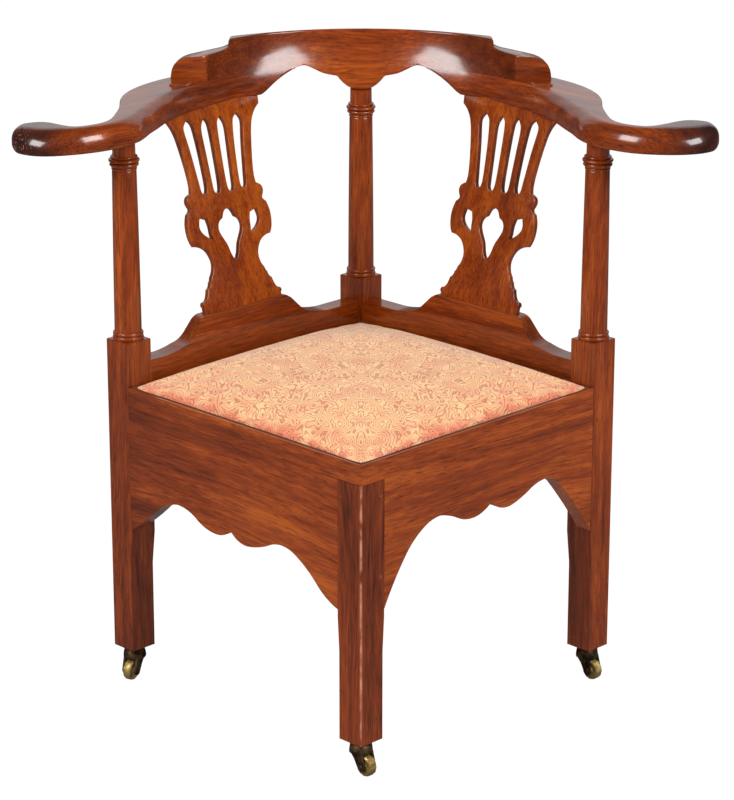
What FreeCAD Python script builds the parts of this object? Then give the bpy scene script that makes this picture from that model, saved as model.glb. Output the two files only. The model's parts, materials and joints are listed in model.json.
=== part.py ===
import FreeCAD, Part
import math
import os

# Corner chair: a square seat set on its corner, four posts, two pierced splats,
# a bow of two arms under one crest rail, a slip seat and four small casters.
# Millimetres, +Z up, the front leg towards -Y, symmetric about X = 0 but for
# the two front aprons, which were sawn to outlines of their own.

# Driving dimensions

# Seat square and posts
SEAT_SIDE = 460.0
POST_SIZE = 40.0
FOOT_SIZE = 37.5
POST_BLOCK_TOP = 468.5
LEG_TAPER_START = 206.0
LEG_TAPER_END = 162.0
POST_EDGE_ROUND = 1.2
BLOCK_TOP_EASE = 0.8
CASTER_HEIGHT = 46.0

# Rails, aprons and the lip that holds the slip seat
RAIL_TOP = 410.0
APRON_THICKNESS = 24.0
APRON_END_DEPTH = 194.0
LIP_HEIGHT = 26.0
LIP_THICKNESS = 4.5
REBATE_DEPTH = 18.0
BACK_RAIL_INSET = 5.5
BACK_RAIL_THICKNESS = 25.0
BACK_RAIL_DEPTH = 75.0
TENON_THICKNESS = 8.0
TENON_LENGTH = 22.0
TENON_SHOULDER = 10.0
MORTISE_WALL = 1.0
PEG_DIAMETER = 7.0
PEG_LENGTH = 28.0
PEG_FROM_JOINT = 7.0
PEG_HEIGHTS = (366.0, 262.0)
BLOCK_LEG = 60.0
BLOCK_THICKNESS = 24.0
LEDGE_WIDTH = 22.0
LEDGE_THICKNESS = 18.0

# Turned columns
COLUMN_NECK = 28.6
COLUMN_COLLAR = 38.6
COLUMN_TOP = 32.2
COLUMN_FOOT = 35.0
COLUMN_BASE_RING = 39.6
COLLAR_HEIGHT = 14.5
COLLAR_TO_ARM = 18.0
COLUMN_TENON = 20.0
COLUMN_TENON_LENGTH = 20.0

# Shaped back rails that carry the splats
SHOE_LOW = 27.0
SHOE_HIGH = 62.0
SHOE_SHIFT = -12.0
SHOE_TOP_THICKNESS = 17.0

# Splats
SPLAT_THICKNESS = 10.0
SPLAT_TONGUE = 8.0
SPLAT_FACE_FROM_BACK = 15.0
SPLAT_HEAD_SETBACK = 1.0

# Arms and crest
ARM_UNDERSIDE = 727.0
ARM_THICKNESS = 31.0
ARM_INSIDE_POST = 18.0
ARM_OUTSIDE_POST = 44.0
ARM_INNER_ROUND = 18.0
ARM_HAND_ROUND = 14.5
ARM_OUTER_ROUND = 3.5
ARM_LOWER_ROUND = 4.5
CREST_RISE = 47.5
CREST_TOP_THICKNESS = 15.0
CREST_JOINT_SETBACK = 21.0
CREST_END_REACH = 57.0
CREST_HALF_JOINT = 91.0
CREST_SCREW_DIAMETER = 4.5
CREST_SCREW_HEAD = 9.2
CREST_SCREW_GRIP = 14.0

# Slip seat
SEAT_GAP = 0.8
SEAT_BAR_WIDTH = 55.0
SEAT_BAR_THICKNESS = 18.0
SEAT_CROWN = 27.0
SEAT_EDGE_RISE = 9.0
COVER_THICKNESS = 1.2
WEBBING_WIDTH = 50.0
WEBBING_THICKNESS = 1.5

# Casters
WHEEL_DIAMETER = 27.0
WHEEL_WIDTH = 14.0
WHEEL_CLEARANCE = 0.5
AXLE_DIAMETER = 5.0
RUNNING_GAP = 0.05
CASTER_TRAIL = 10.0
CHEEK_THICKNESS = 3.0
CROWN_DIAMETER = 30.0
CROWN_THICKNESS = 13.0
PINTLE_DIAMETER = 8.0
PLATE_DIAMETER = 31.0
PLATE_THICKNESS = 3.0
PLATE_GAP = 0.3
SCREW_DIAMETER = 3.0
SCREW_HEAD = 6.0
SCREW_LENGTH = 14.0
RIVET_HEIGHT = 2.0
AXLE_BOSS = 6.0
BOSS_STEP_COUNT = 7
HUB_DIAMETER = 12.0
HUB_STEP = 1.2
WHEEL_EASE = 1.6
TRAIL_ANGLES = {"front": -47.0, "left": -117.0, "right": -47.0, "back": -80.0}

# Small clearances, and how close a sawn outline keeps to its marked points
GLUE_GAP = 0.1
OUTLINE_HOLD = 0.6
HEADING_HOLD = math.radians(8.0)

# Flats round the riven pegs, the screws, the castings and the turned columns
PEG_FLAT_COUNT = 6
SCREW_FLAT_COUNT = 6
CASTER_FLAT_COUNT = 12
COLUMN_FLAT_COUNT = 16

# Sizes that follow
HALF_SIDE = SEAT_SIDE / 2
CORNER_REACH = HALF_SIDE * math.sqrt(2)
POST_REACH = (HALF_SIDE - POST_SIZE / 2) * math.sqrt(2)
CLEAR_HALF = HALF_SIDE - POST_SIZE
BOW_INNER = POST_REACH - ARM_INSIDE_POST
BOW_OUTER = POST_REACH + ARM_OUTSIDE_POST
SEAT_CENTRE_Y = (CORNER_REACH - BOW_OUTER) / 2
ARM_TOP = ARM_UNDERSIDE + ARM_THICKNESS
CREST_TOP = ARM_TOP + CREST_RISE
CREST_JOINT_FACE = BOW_INNER + CREST_JOINT_SETBACK
LEDGE_LEVEL = RAIL_TOP - REBATE_DEPTH
LIP_BOTTOM = RAIL_TOP - LIP_HEIGHT
BACK_RAIL_FACE = CLEAR_HALF + BACK_RAIL_INSET
BACK_RAIL_BACK = BACK_RAIL_FACE + BACK_RAIL_THICKNESS
SHOE_TOP_LEVEL = RAIL_TOP + SHOE_HIGH
SPLAT_FOOT_FACE = BACK_RAIL_BACK - SPLAT_FACE_FROM_BACK
POST_ANGLES = {"front": -90.0, "left": 180.0, "back": 90.0, "right": 0.0}
# A side's frame has x along the rail and y outwards from the middle of the seat
SIDE_ANGLES = {"front_left": 135.0, "front_right": 225.0, "back_right": -45.0, "back_left": 45.0}

V = FreeCAD.Vector
UP = V(0, 0, 1)
ORIGIN = V(0, 0, 0)


# Small tools

def turned(shape, angle):
    """A copy turned about the upright axis through the middle of the seat."""
    copy = shape.copy()
    copy.rotate(ORIGIN, UP, angle)
    return copy


def moved(shape, x, y, z):
    copy = shape.copy()
    copy.translate(V(x, y, z))
    return copy


def mirrored(shape):
    """The other hand of a piece: its image in the plane X = 0."""
    return shape.mirror(ORIGIN, V(1, 0, 0))


def block(x0, x1, y0, y1, z0, z1):
    return Part.makeBox(x1 - x0, y1 - y0, z1 - z0, V(x0, y0, z0))


def polygon_face(points):
    return Part.Face(Part.makePolygon(points + [points[0]]))


def prism(points, height):
    """An upright prism on a polygon of (x, y) corners, from z to z plus height."""
    return polygon_face([V(*point) for point in points]).extrude(UP * height)


def line(start, end):
    return Part.LineSegment(start, end).toShape()


def arc(start, middle, end):
    return Part.Arc(start, middle, end).toShape()


def tangent_arc(start, heading, end):
    """The arc that leaves start along a heading and ends at a point."""
    chord = end - start
    along = V(chord)
    along.normalize()
    aside = heading - along * heading.dot(along)
    if aside.Length < 0.002:
        return line(start, end)
    turn = heading.getAngle(along)
    aside.normalize()
    middle = (start + end) * 0.5 + aside * (chord.Length / 2 * math.tan(turn / 2))
    return arc(start, middle, end)


def two_arcs(start, leave, end, arrive):
    """Two tangent arcs between two points with given headings."""
    chord = end - start
    across = chord.dot(leave + arrive)
    spread = 2 * (1 - leave.dot(arrive))
    if spread < 1e-6:
        reach = chord.dot(chord) / (4 * chord.dot(arrive))
    else:
        reach = (math.sqrt(across ** 2 + spread * chord.dot(chord)) - across) / spread
    joint = (start + end + (leave - arrive) * reach) * 0.5
    return [tangent_arc(start, leave, joint), tangent_arc(end, arrive * -1, joint)]


def one_arc(guide, start, leave, end, arrive):
    """One arc between two points of a guide, if it keeps to the guide's headings."""
    middle = guide.value((guide.parameter(start) + guide.parameter(end)) / 2)
    bend = (middle - start).getAngle(end - middle)
    headings = ((leave, middle - start), (end - middle, arrive))
    if max(abs(first.getAngle(second) - bend / 2) for first, second in headings) > HEADING_HOLD:
        return []
    return [arc(start, middle, end)]


def smooth_run(points):
    """A smooth line of arcs, as few as pass close to all the points."""
    guide = Part.BSplineCurve()
    guide.interpolate(points)
    headings = [guide.tangent(guide.parameter(point))[0] for point in points]
    edges = []
    first = 0
    last = len(points) - 1
    while first < last:
        for final in range(min(last, first + 6), first, -1):
            ends = (points[first], headings[first], points[final], headings[final])
            passed = [Part.Vertex(point) for point in points[first + 1:final]]
            tries = [run for run in (one_arc(guide, *ends), two_arcs(*ends)) if run]
            held = [run for run in tries if all(
                min(edge.distToShape(vertex)[0] for edge in run) < OUTLINE_HOLD
                for vertex in passed)]
            if held:
                break
        edges += held[0]
        first = final
    return edges


def skinned(rings):
    """The solid inside a skin of flat faces from each ring of points to the next."""
    faces = [polygon_face(rings[0]), polygon_face(rings[-1])]
    count = len(rings[0])
    for low, high in zip(rings[:-1], rings[1:]):
        for step in range(count):
            after = (step + 1) % count
            first, second, third, fourth = low[step], low[after], high[after], high[step]
            normal = (second - first).cross(fourth - first)
            warp = abs(normal.dot(third - first)) / max(normal.Length, 1e-9)
            if warp < 1e-7:
                faces.append(polygon_face([first, second, third, fourth]))
            else:
                faces.append(polygon_face([first, second, third]))
                faces.append(polygon_face([first, third, fourth]))
    shell = Part.makeShell(faces)
    shell.sewShape()
    solid = Part.makeSolid(shell)
    if solid.Volume < 0:
        solid.reverse()
    return solid


def ring_points(radius, flats, level):
    """Corners of a regular polygon, the first of them towards -Y."""
    points = []
    for step in range(flats):
        angle = 2 * math.pi * step / flats - math.pi / 2
        points.append(V(radius * math.cos(angle), radius * math.sin(angle), level))
    return points


def many_sided(rows, flats):
    """A turning with flat sides about Z through (radius, level) rows."""
    return skinned([ring_points(radius, flats, level) for radius, level in rows])


def rod(diameter, flats, start, direction, length):
    """A straight bar with flat sides."""
    bar = polygon_face(ring_points(diameter / 2, flats, 0)).extrude(UP * length)
    bar.Placement = FreeCAD.Placement(start, FreeCAD.Rotation(UP, direction))
    return bar


def screw(shank, head, length, foot):
    """An upright countersunk screw with its head down."""
    sink = (head - shank) / 2
    rows = ((head / 2, 0), (shank / 2, sink), (shank / 2, length))
    return moved(many_sided(rows, SCREW_FLAT_COUNT), foot.x, foot.y, foot.z)


def closed_face(edges):
    return Part.Face(Part.Wire(Part.__sortEdges__(edges)))


def post_point(name):
    angle = math.radians(POST_ANGLES[name])
    return V(POST_REACH * math.cos(angle), POST_REACH * math.sin(angle), 0)


# Posts: square leg, square block at the seat and turned column in one piece

def leg_side(top):
    """A leg's outline from the side: one face upright, the other one tapered."""
    outer = POST_SIZE / 2
    inner = outer - POST_SIZE
    foot = outer - FOOT_SIZE
    return [(outer, CASTER_HEIGHT), (outer, top), (inner, top), (inner, LEG_TAPER_START),
            (foot, LEG_TAPER_END), (foot, CASTER_HEIGHT)]


def leg_stock(top):
    """The square stock, with its two inner faces cut back below the aprons."""
    span = V(0, 2 * POST_SIZE, 0)
    outline = leg_side(top)
    first = polygon_face([V(x, -POST_SIZE, z) for x, z in outline]).extrude(span)
    across = V(2 * POST_SIZE, 0, 0)
    second = polygon_face([V(-POST_SIZE, y, z) for y, z in outline]).extrude(across)
    stock = first.common(second).removeSplitter()
    half = POST_SIZE / 2
    outer_arrises = []
    for edge in stock.Edges:
        ends = [vertex.Point for vertex in edge.Vertexes]
        upright = abs(ends[0].x - ends[1].x) < 0.01 and abs(ends[0].y - ends[1].y) < 0.01
        outside = ends[0].x > half - 0.01 and ends[0].y > half - 0.01
        if upright and outside:
            outer_arrises.append(edge)
    return stock.makeFillet(POST_EDGE_ROUND, outer_arrises)


def column():
    """The turned column: rings at the foot, a slow taper, a collar and a neck."""
    base = POST_BLOCK_TOP
    top = ARM_UNDERSIDE
    ring = COLUMN_BASE_RING / 2
    foot = COLUMN_FOOT / 2
    shaft = COLUMN_TOP / 2
    collar = COLUMN_COLLAR / 2
    neck = COLUMN_NECK / 2
    collar_top = top - COLLAR_TO_ARM
    collar_foot = collar_top - COLLAR_HEIGHT
    rows = (
        (ring - 1.0, base - 1), (ring, base + 1.2), (ring, base + 4.0), (ring - 1.4, base + 5.4),
        (ring, base + 7.0), (ring, base + 9.4), (ring - 1.4, base + 11.0),
        (foot, base + 11.6),
        (shaft, collar_foot - 5.5), (shaft + 1.6, collar_foot - 0.6),
        (collar - 1.4, collar_foot + 0.8), (collar - 0.6, collar_foot + 2.6),
        (collar - 1.6, collar_foot + 4.2),
        (collar - 0.2, collar_foot + 5.8), (collar - 0.2, collar_foot + 8.2),
        (collar - 1.6, collar_foot + 9.8), (collar - 3.4, collar_top),
        (neck, collar_top + 1.0), (neck, top),
    )
    turning = many_sided(rows, COLUMN_FLAT_COUNT)
    tenon = rod(COLUMN_TENON, COLUMN_FLAT_COUNT, V(0, 0, top - 1), UP, COLUMN_TENON_LENGTH + 1)
    return turning.fuse(tenon)


def column_mortise(name):
    """What an arm or the crest is bored for a column's tenon."""
    place = post_point(name) + V(0, 0, ARM_UNDERSIDE - 1)
    bore = rod(COLUMN_TENON + 2 * GLUE_GAP, COLUMN_FLAT_COUNT, ORIGIN, UP,
               COLUMN_TENON_LENGTH + 1 + GLUE_GAP)
    bore = turned(bore, POST_ANGLES[name] - 45.0)
    return moved(bore, place.x, place.y, place.z)


def rail_middle(side):
    """A rail's middle plane, as its distance from the middle of the seat."""
    if side.startswith("front"):
        return HALF_SIDE - APRON_THICKNESS / 2
    return BACK_RAIL_FACE + BACK_RAIL_THICKNESS / 2


def tenon_reach(side, end):
    """Where a tenon ends: at its length, or a wall short of the other rail's mortise."""
    for rails in POST_RAILS.values():
        if (side, end) in rails:
            other = rails[1 - rails.index((side, end))][0]
    mortise_face = rail_middle(other) - TENON_THICKNESS / 2 - GLUE_GAP
    return min(CLEAR_HALF + TENON_LENGTH, mortise_face - GLUE_GAP - MORTISE_WALL)


def tenon_solid(side, end, low, high, grow=0.0):
    """A rail's tenon past its shoulder, in the side's own frame, for end -1 or +1."""
    middle = rail_middle(side)
    reach = tenon_reach(side, end) + grow
    x0, x1 = sorted((end * (CLEAR_HALF - (1.0 if grow else 0.0)), end * reach))
    half = TENON_THICKNESS / 2 + grow
    return block(x0, x1, middle - half, middle + half, low - grow, high + grow)


def rail_tenons(side):
    """Both tenons' spans: low and high level."""
    if side.startswith("front"):
        return RAIL_TOP - APRON_END_DEPTH + TENON_SHOULDER, LIP_BOTTOM - TENON_SHOULDER
    return RAIL_TOP - BACK_RAIL_DEPTH + TENON_SHOULDER, RAIL_TOP - TENON_SHOULDER


# Each post's two rails: the side and the end of it that enters the post
POST_RAILS = {
    "front": (("front_left", -1), ("front_right", 1)),
    "left": (("front_left", 1), ("back_left", -1)),
    "back": (("back_left", 1), ("back_right", -1)),
    "right": (("back_right", 1), ("front_right", -1)),
}


def peg_solids(side, end):
    """The pegs that pin one tenon, driven in from the outer face."""
    outer = HALF_SIDE
    low, high = rail_tenons(side)
    levels = PEG_HEIGHTS if side.startswith("front") else ((low + high) / 2,)
    pegs = []
    for level in levels:
        start = V(end * (CLEAR_HALF + PEG_FROM_JOINT), outer - PEG_LENGTH, level)
        pegs.append(rod(PEG_DIAMETER, PEG_FLAT_COUNT, start, V(0, 1, 0), PEG_LENGTH))
    return pegs


def screw_places():
    """Three screw places round the middle of a caster's plate."""
    radius = PLATE_DIAMETER / 2 - 4.5
    places = []
    for turn in (30.0, 150.0, 270.0):
        angle = math.radians(turn)
        places.append((radius * math.cos(angle), radius * math.sin(angle)))
    return places


def caster_centre(name):
    """The swivel axis: the middle of the leg's foot."""
    offset = (POST_SIZE - FOOT_SIZE) / 2 * math.sqrt(2)
    angle = math.radians(POST_ANGLES[name])
    reach = POST_REACH + offset
    return V(reach * math.cos(angle), reach * math.sin(angle), 0)


def post(name):
    has_column = name != "front"
    stock_top = POST_BLOCK_TOP if has_column else LIP_BOTTOM
    stock = leg_stock(stock_top)
    if has_column:
        stock = soften_block_top(stock)
        stock = stock.fuse(column()).removeSplitter()
    stock.rotate(ORIGIN, UP, POST_ANGLES[name] - 45.0)
    stock.translate(post_point(name))
    cutters = []
    for side, end in POST_RAILS[name]:
        low, high = rail_tenons(side)
        cutters.append(turned(tenon_solid(side, end, low, high, GLUE_GAP), SIDE_ANGLES[side]))
        for peg in peg_solids(side, end):
            cutters.append(turned(peg, SIDE_ANGLES[side]))
    centre = caster_centre(name)
    for x, y in screw_places():
        cutters.append(rod(SCREW_DIAMETER, SCREW_FLAT_COUNT, centre + V(x, y, CASTER_HEIGHT - 1), UP,
                           SCREW_LENGTH - PLATE_THICKNESS + 1 + GLUE_GAP))
    return stock.cut(cutters)


def soften_block_top(stock):
    """The block's upper arrises are eased where the square meets the turning."""
    edges = []
    for edge in stock.Edges:
        ends = [vertex.Point for vertex in edge.Vertexes]
        if all(abs(point.z - POST_BLOCK_TOP) < 0.01 for point in ends):
            edges.append(edge)
    return stock.makeChamfer(BLOCK_TOP_EASE, edges)


# Front aprons, sawn to a scrolled lower edge

# Outlines: the share of the clear half span from the middle, and the drop below
# the rail's top. Each apron has a run on either side of the cusp at its middle.
LEFT_APRON_LOWER = (
    ((-1.0, 194.0), (-0.76, 158.0), (-0.52, 134.5), (-0.30, 148.0), (-0.15, 155.0), (0.0, 144.0)),
    ((0.0, 144.0), (0.16, 156.0), (0.36, 144.5), (0.49, 138.0), (0.62, 145.0), (0.83, 175.0),
     (1.0, 194.0)),
)
RIGHT_APRON_LOWER = (
    ((-1.0, 194.0), (-0.87, 160.0), (-0.69, 117.0), (-0.53, 99.5), (-0.37, 107.0),
     (-0.20, 118.5), (0.0, 105.0)),
    ((0.0, 105.0), (0.17, 117.0), (0.31, 111.0), (0.48, 98.8), (0.64, 107.0), (0.79, 131.0),
     (1.0, 194.0)),
)


def apron(side, runs, towards_front):
    """An apron board under its lip, tenoned into the posts at both ends."""
    def at(share, drop):
        return V(towards_front * share * CLEAR_HALF, 0, RAIL_TOP - drop)

    edges = []
    for run in runs:
        edges += smooth_run([at(*point) for point in run])
    first = at(*runs[0][0])
    last = at(*runs[-1][-1])
    upper_first = V(first.x, 0, LIP_BOTTOM)
    upper_last = V(last.x, 0, LIP_BOTTOM)
    edges += [line(last, upper_last), line(upper_last, upper_first), line(upper_first, first)]
    board = closed_face(edges).extrude(V(0, APRON_THICKNESS, 0))
    board.translate(V(0, HALF_SIDE - APRON_THICKNESS, 0))
    low, high = rail_tenons(side)
    tenons = [tenon_solid(side, end, low, high) for end in (-1, 1)]
    board = board.fuse(tenons).removeSplitter()
    pegs = peg_solids(side, -1) + peg_solids(side, 1)
    return turned(board.cut(pegs), SIDE_ANGLES[side])


def lip(side, towards_front):
    """The rebated strip on an apron, mitred over the front leg."""
    back = HALF_SIDE - APRON_THICKNESS
    ledge_face = HALF_SIDE - LIP_THICKNESS
    profile = [V(0, back, LIP_BOTTOM), V(0, HALF_SIDE, LIP_BOTTOM), V(0, HALF_SIDE, RAIL_TOP),
               V(0, ledge_face, RAIL_TOP), V(0, ledge_face, LEDGE_LEVEL), V(0, back, LEDGE_LEVEL)]
    far = HALF_SIDE + 1
    strip = polygon_face(profile).extrude(V(CLEAR_HALF + far, 0, 0))
    strip.translate(V(-CLEAR_HALF, 0, 0))
    if towards_front < 0:
        strip = mirrored(strip)
    reach = 2 * SEAT_SIDE
    waste = polygon_face([V(0, 0, 0), V(towards_front * reach, reach, 0),
                          V(towards_front * reach, 0, 0)])
    strip = strip.cut(waste.extrude(UP * reach))
    return turned(strip, SIDE_ANGLES[side])


# Back rails, their seat ledges and the shaped pieces that carry the splats

def back_rail(side):
    rail = block(-CLEAR_HALF, CLEAR_HALF, BACK_RAIL_FACE, BACK_RAIL_BACK,
                 RAIL_TOP - BACK_RAIL_DEPTH, RAIL_TOP)
    low, high = rail_tenons(side)
    tenons = [tenon_solid(side, end, low, high) for end in (-1, 1)]
    rail = rail.fuse(tenons).removeSplitter()
    pegs = peg_solids(side, -1) + peg_solids(side, 1)
    return turned(rail.cut(pegs), SIDE_ANGLES[side])


def seat_ledge(side):
    """The batten on a back rail that the slip seat rests on."""
    end = CLEAR_HALF - LEDGE_WIDTH
    points = [(-end, BACK_RAIL_FACE - LEDGE_WIDTH, LEDGE_LEVEL - LEDGE_THICKNESS),
              (end, BACK_RAIL_FACE - LEDGE_WIDTH, LEDGE_LEVEL - LEDGE_THICKNESS),
              (end, BACK_RAIL_FACE, LEDGE_LEVEL - LEDGE_THICKNESS),
              (-end, BACK_RAIL_FACE, LEDGE_LEVEL - LEDGE_THICKNESS)]
    return turned(prism(points, LEDGE_THICKNESS), SIDE_ANGLES[side])


# The ogee at each end of a shoe: distance from its middle, rise above the rail
SHOE_CROWN = ((69.0, 62.0), (78.0, 59.0), (85.5, 52.5), (93.0, 44.0))
SHOE_HOLLOW = ((93.0, 44.0), (100.0, 37.5), (116.0, 32.0), (134.0, 28.2), (150.0, 27.0))


def shoe_elevation():
    """The shoe's outline in its rail's frame: low ends, ogees, a raised middle."""
    low = RAIL_TOP + SHOE_LOW

    def at(hand, offset, rise):
        share = (rise - SHOE_CROWN[0][1]) / (SHOE_HOLLOW[-1][1] - SHOE_CROWN[0][1])
        return V(SHOE_SHIFT + hand * offset, 0, SHOE_TOP_LEVEL + share * (low - SHOE_TOP_LEVEL))

    edges = [line(at(-1, *SHOE_CROWN[0]), at(1, *SHOE_CROWN[0]))]
    for hand in (-1, 1):
        edges += smooth_run([at(hand, *point) for point in SHOE_CROWN])
        edges += smooth_run([at(hand, *point) for point in SHOE_HOLLOW])
        edges.append(line(at(hand, *SHOE_HOLLOW[-1]), V(hand * CLEAR_HALF, 0, low)))
        edges.append(line(V(hand * CLEAR_HALF, 0, low), V(hand * CLEAR_HALF, 0, RAIL_TOP)))
    edges.append(line(V(-CLEAR_HALF, 0, RAIL_TOP), V(CLEAR_HALF, 0, RAIL_TOP)))
    return closed_face(edges)


def shoe_waste():
    """The wood hollowed from the shoe's face, from the low ends' level up."""
    face = BACK_RAIL_FACE
    foot = RAIL_TOP + SHOE_LOW + 0.5
    top = SHOE_TOP_LEVEL
    set_back = BACK_RAIL_THICKNESS - SHOE_TOP_THICKNESS
    edges = [
        arc(V(0, face, foot), V(0, face + 0.24 * set_back, foot + 0.45 * (top - foot)),
            V(0, face + set_back - 1.4, top - 4.0)),
        line(V(0, face + set_back - 1.4, top - 4.0), V(0, face + set_back, top - 4.0)),
        line(V(0, face + set_back, top - 4.0), V(0, face + set_back, top + 1)),
        line(V(0, face + set_back, top + 1), V(0, face - 2, top + 1)),
        line(V(0, face - 2, top + 1), V(0, face - 2, foot)),
        line(V(0, face - 2, foot), V(0, face, foot)),
    ]
    waste = closed_face(edges).extrude(V(2 * CLEAR_HALF, 0, 0))
    waste.translate(V(-CLEAR_HALF, 0, 0))
    return waste


def shoe_left():
    """The left shoe, with the groove for the splat's foot."""
    body = shoe_elevation().extrude(V(0, BACK_RAIL_THICKNESS, 0))
    body.translate(V(0, BACK_RAIL_FACE, 0))
    body = body.cut(shoe_waste())
    body = turned(body, SIDE_ANGLES["back_left"])
    return body.cut([splat_groove(False), splat_left()])


# Splats: flat boards raked from the shoe out to the arm

# Half outline of the splat about its own middle line: (half width, share of the
# visible height from the shoe to the arm). It is a set of runs between corners.
SPLAT_EDGE = (
    ((68.0, 0.0), (68.0, 0.026)),
    ((68.0, 0.026), (69.8, 0.038), (68.0, 0.052)),
    ((68.0, 0.052), (61.6, 0.063), (57.0, 0.084), (53.5, 0.118), (49.5, 0.153), (44.5, 0.186),
     (40.8, 0.215), (40.2, 0.240), (42.9, 0.272), (48.8, 0.302), (58.3, 0.322), (67.0, 0.328)),
    ((67.0, 0.328), (70.6, 0.353), (73.1, 0.396), (72.6, 0.446), (68.8, 0.489)),
    ((68.8, 0.489), (65.0, 0.501), (62.8, 0.518), (66.2, 0.544), (64.4, 0.573), (57.0, 0.588)),
    ((57.0, 0.588), (55.6, 0.630), (57.6, 0.710), (61.5, 0.800), (66.0, 0.876), (71.0, 0.920),
     (77.0, 0.950), (85.0, 0.975)),
    ((85.0, 0.975), (86.0, 1.0)),
)
# The two upright slots on the right of the middle: each from its round foot up
# the outer edge to the pointed head and down the inner edge.
SPLAT_SLOTS = (
    (((12.5, 0.566), (16.6, 0.580), (17.8, 0.620), (18.6, 0.700), (19.8, 0.800), (20.4, 0.880),
      (18.0, 0.915), (13.8, 0.941)),
     ((13.8, 0.941), (9.6, 0.920), (7.6, 0.885), (6.7, 0.790), (6.4, 0.680), (6.8, 0.610),
      (8.4, 0.578), (12.5, 0.566))),
    (((34.7, 0.571), (38.6, 0.585), (40.2, 0.625), (42.6, 0.700), (46.0, 0.800), (49.8, 0.885),
      (48.6, 0.918), (43.6, 0.941)),
     ((43.6, 0.941), (37.6, 0.922), (34.6, 0.885), (32.0, 0.800), (30.4, 0.700), (29.7, 0.620),
      (31.0, 0.584), (34.7, 0.571))),
)
# The urn in the middle, its right half from the head down to the tip
SPLAT_URN = ((0.0, 0.484), (6.1, 0.477), (9.9, 0.458), (12.2, 0.441), (18.0, 0.424), (20.3, 0.402),
             (19.6, 0.378), (15.4, 0.346), (9.7, 0.306), (6.6, 0.272), (2.6, 0.240), (0.0, 0.233))
# The small piercing beside the urn, in order round its edge
SPLAT_EYE = (
    ((49.5, 0.461), (52.3, 0.432), (51.6, 0.400), (44.2, 0.370), (33.8, 0.348)),
    ((33.8, 0.348), (35.2, 0.378), (35.6, 0.412), (38.0, 0.446), (43.0, 0.458), (49.5, 0.461)),
)


def splat_frame():
    """Foot and head of the splat's face in the left rail's frame."""
    foot = V(SHOE_SHIFT, SPLAT_FOOT_FACE, SHOE_TOP_LEVEL)
    head = V(0, BOW_INNER + SPLAT_HEAD_SETBACK, ARM_UNDERSIDE)
    return foot, head


def splat_height():
    foot, head = splat_frame()
    return (head - foot).Length


def splat_outline():
    """The splat's face in its own plane, with the tongues at its foot and head."""
    height = splat_height()

    def at(point, hand):
        return V(hand * point[0], point[1] * height, 0)

    edges = []
    for hand in (-1, 1):
        for run in SPLAT_EDGE:
            points = [at(point, hand) for point in run]
            edges += smooth_run(points) if len(points) > 2 else [line(*points)]
        foot = at(SPLAT_EDGE[0][0], hand)
        head = at(SPLAT_EDGE[-1][-1], hand)
        edges.append(line(foot, foot - V(0, SPLAT_TONGUE, 0)))
        edges.append(line(head, head + V(0, SPLAT_TONGUE, 0)))
    foot_half = SPLAT_EDGE[0][0][0]
    head_half = SPLAT_EDGE[-1][-1][0]
    edges.append(line(V(-foot_half, -SPLAT_TONGUE, 0), V(foot_half, -SPLAT_TONGUE, 0)))
    edges.append(line(V(-head_half, height + SPLAT_TONGUE, 0),
                      V(head_half, height + SPLAT_TONGUE, 0)))
    return closed_face(edges)


def splat_groove(at_head):
    """What is cut from the shoe or the arm to take the splat's tongue."""
    half = SPLAT_EDGE[-1][-1][0] if at_head else SPLAT_EDGE[0][0][0]
    half += GLUE_GAP
    depth = SPLAT_TONGUE + GLUE_GAP
    mouth = splat_height() if at_head else 0.0
    low, high = (mouth - 5, mouth + depth) if at_head else (mouth - depth, mouth + 5)
    groove = block(-half, half, low, high, -SPLAT_THICKNESS - GLUE_GAP, GLUE_GAP)
    return raise_splat(groove)


def splat_holes(height):
    """The four slots, the urn and the two eyes, as faces in the splat's plane."""
    def at(point, hand):
        return V(hand * point[0], point[1] * height, 0)

    holes = []
    for hand in (-1, 1):
        for runs in SPLAT_SLOTS + (SPLAT_EYE,):
            edges = []
            for run in runs:
                edges += smooth_run([at(point, hand) for point in run])
            holes.append(closed_face(edges))
    urn = []
    for hand in (-1, 1):
        urn += smooth_run([at(point, hand) for point in SPLAT_URN])
    holes.append(closed_face(urn))
    return holes


def raise_splat(shape):
    """From the splat's own plane to the left rail, leaning out with its rake."""
    foot, head = splat_frame()
    up = (head - foot).normalize()
    across = V(1, 0, 0) - up * up.x
    across.normalize()
    inward = across.cross(up)
    matrix = FreeCAD.Matrix(across.x, up.x, inward.x, foot.x,
                            across.y, up.y, inward.y, foot.y,
                            across.z, up.z, inward.z, foot.z,
                            0, 0, 0, 1)
    placed = shape.copy()
    placed.Placement = FreeCAD.Placement(matrix)
    return turned(placed, SIDE_ANGLES["back_left"])


def splat_left():
    face = splat_outline().cut(splat_holes(splat_height()))
    return raise_splat(face.extrude(V(0, 0, -SPLAT_THICKNESS)))


# Arms: one sawn and rounded piece each, from under the crest to the hand

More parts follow.
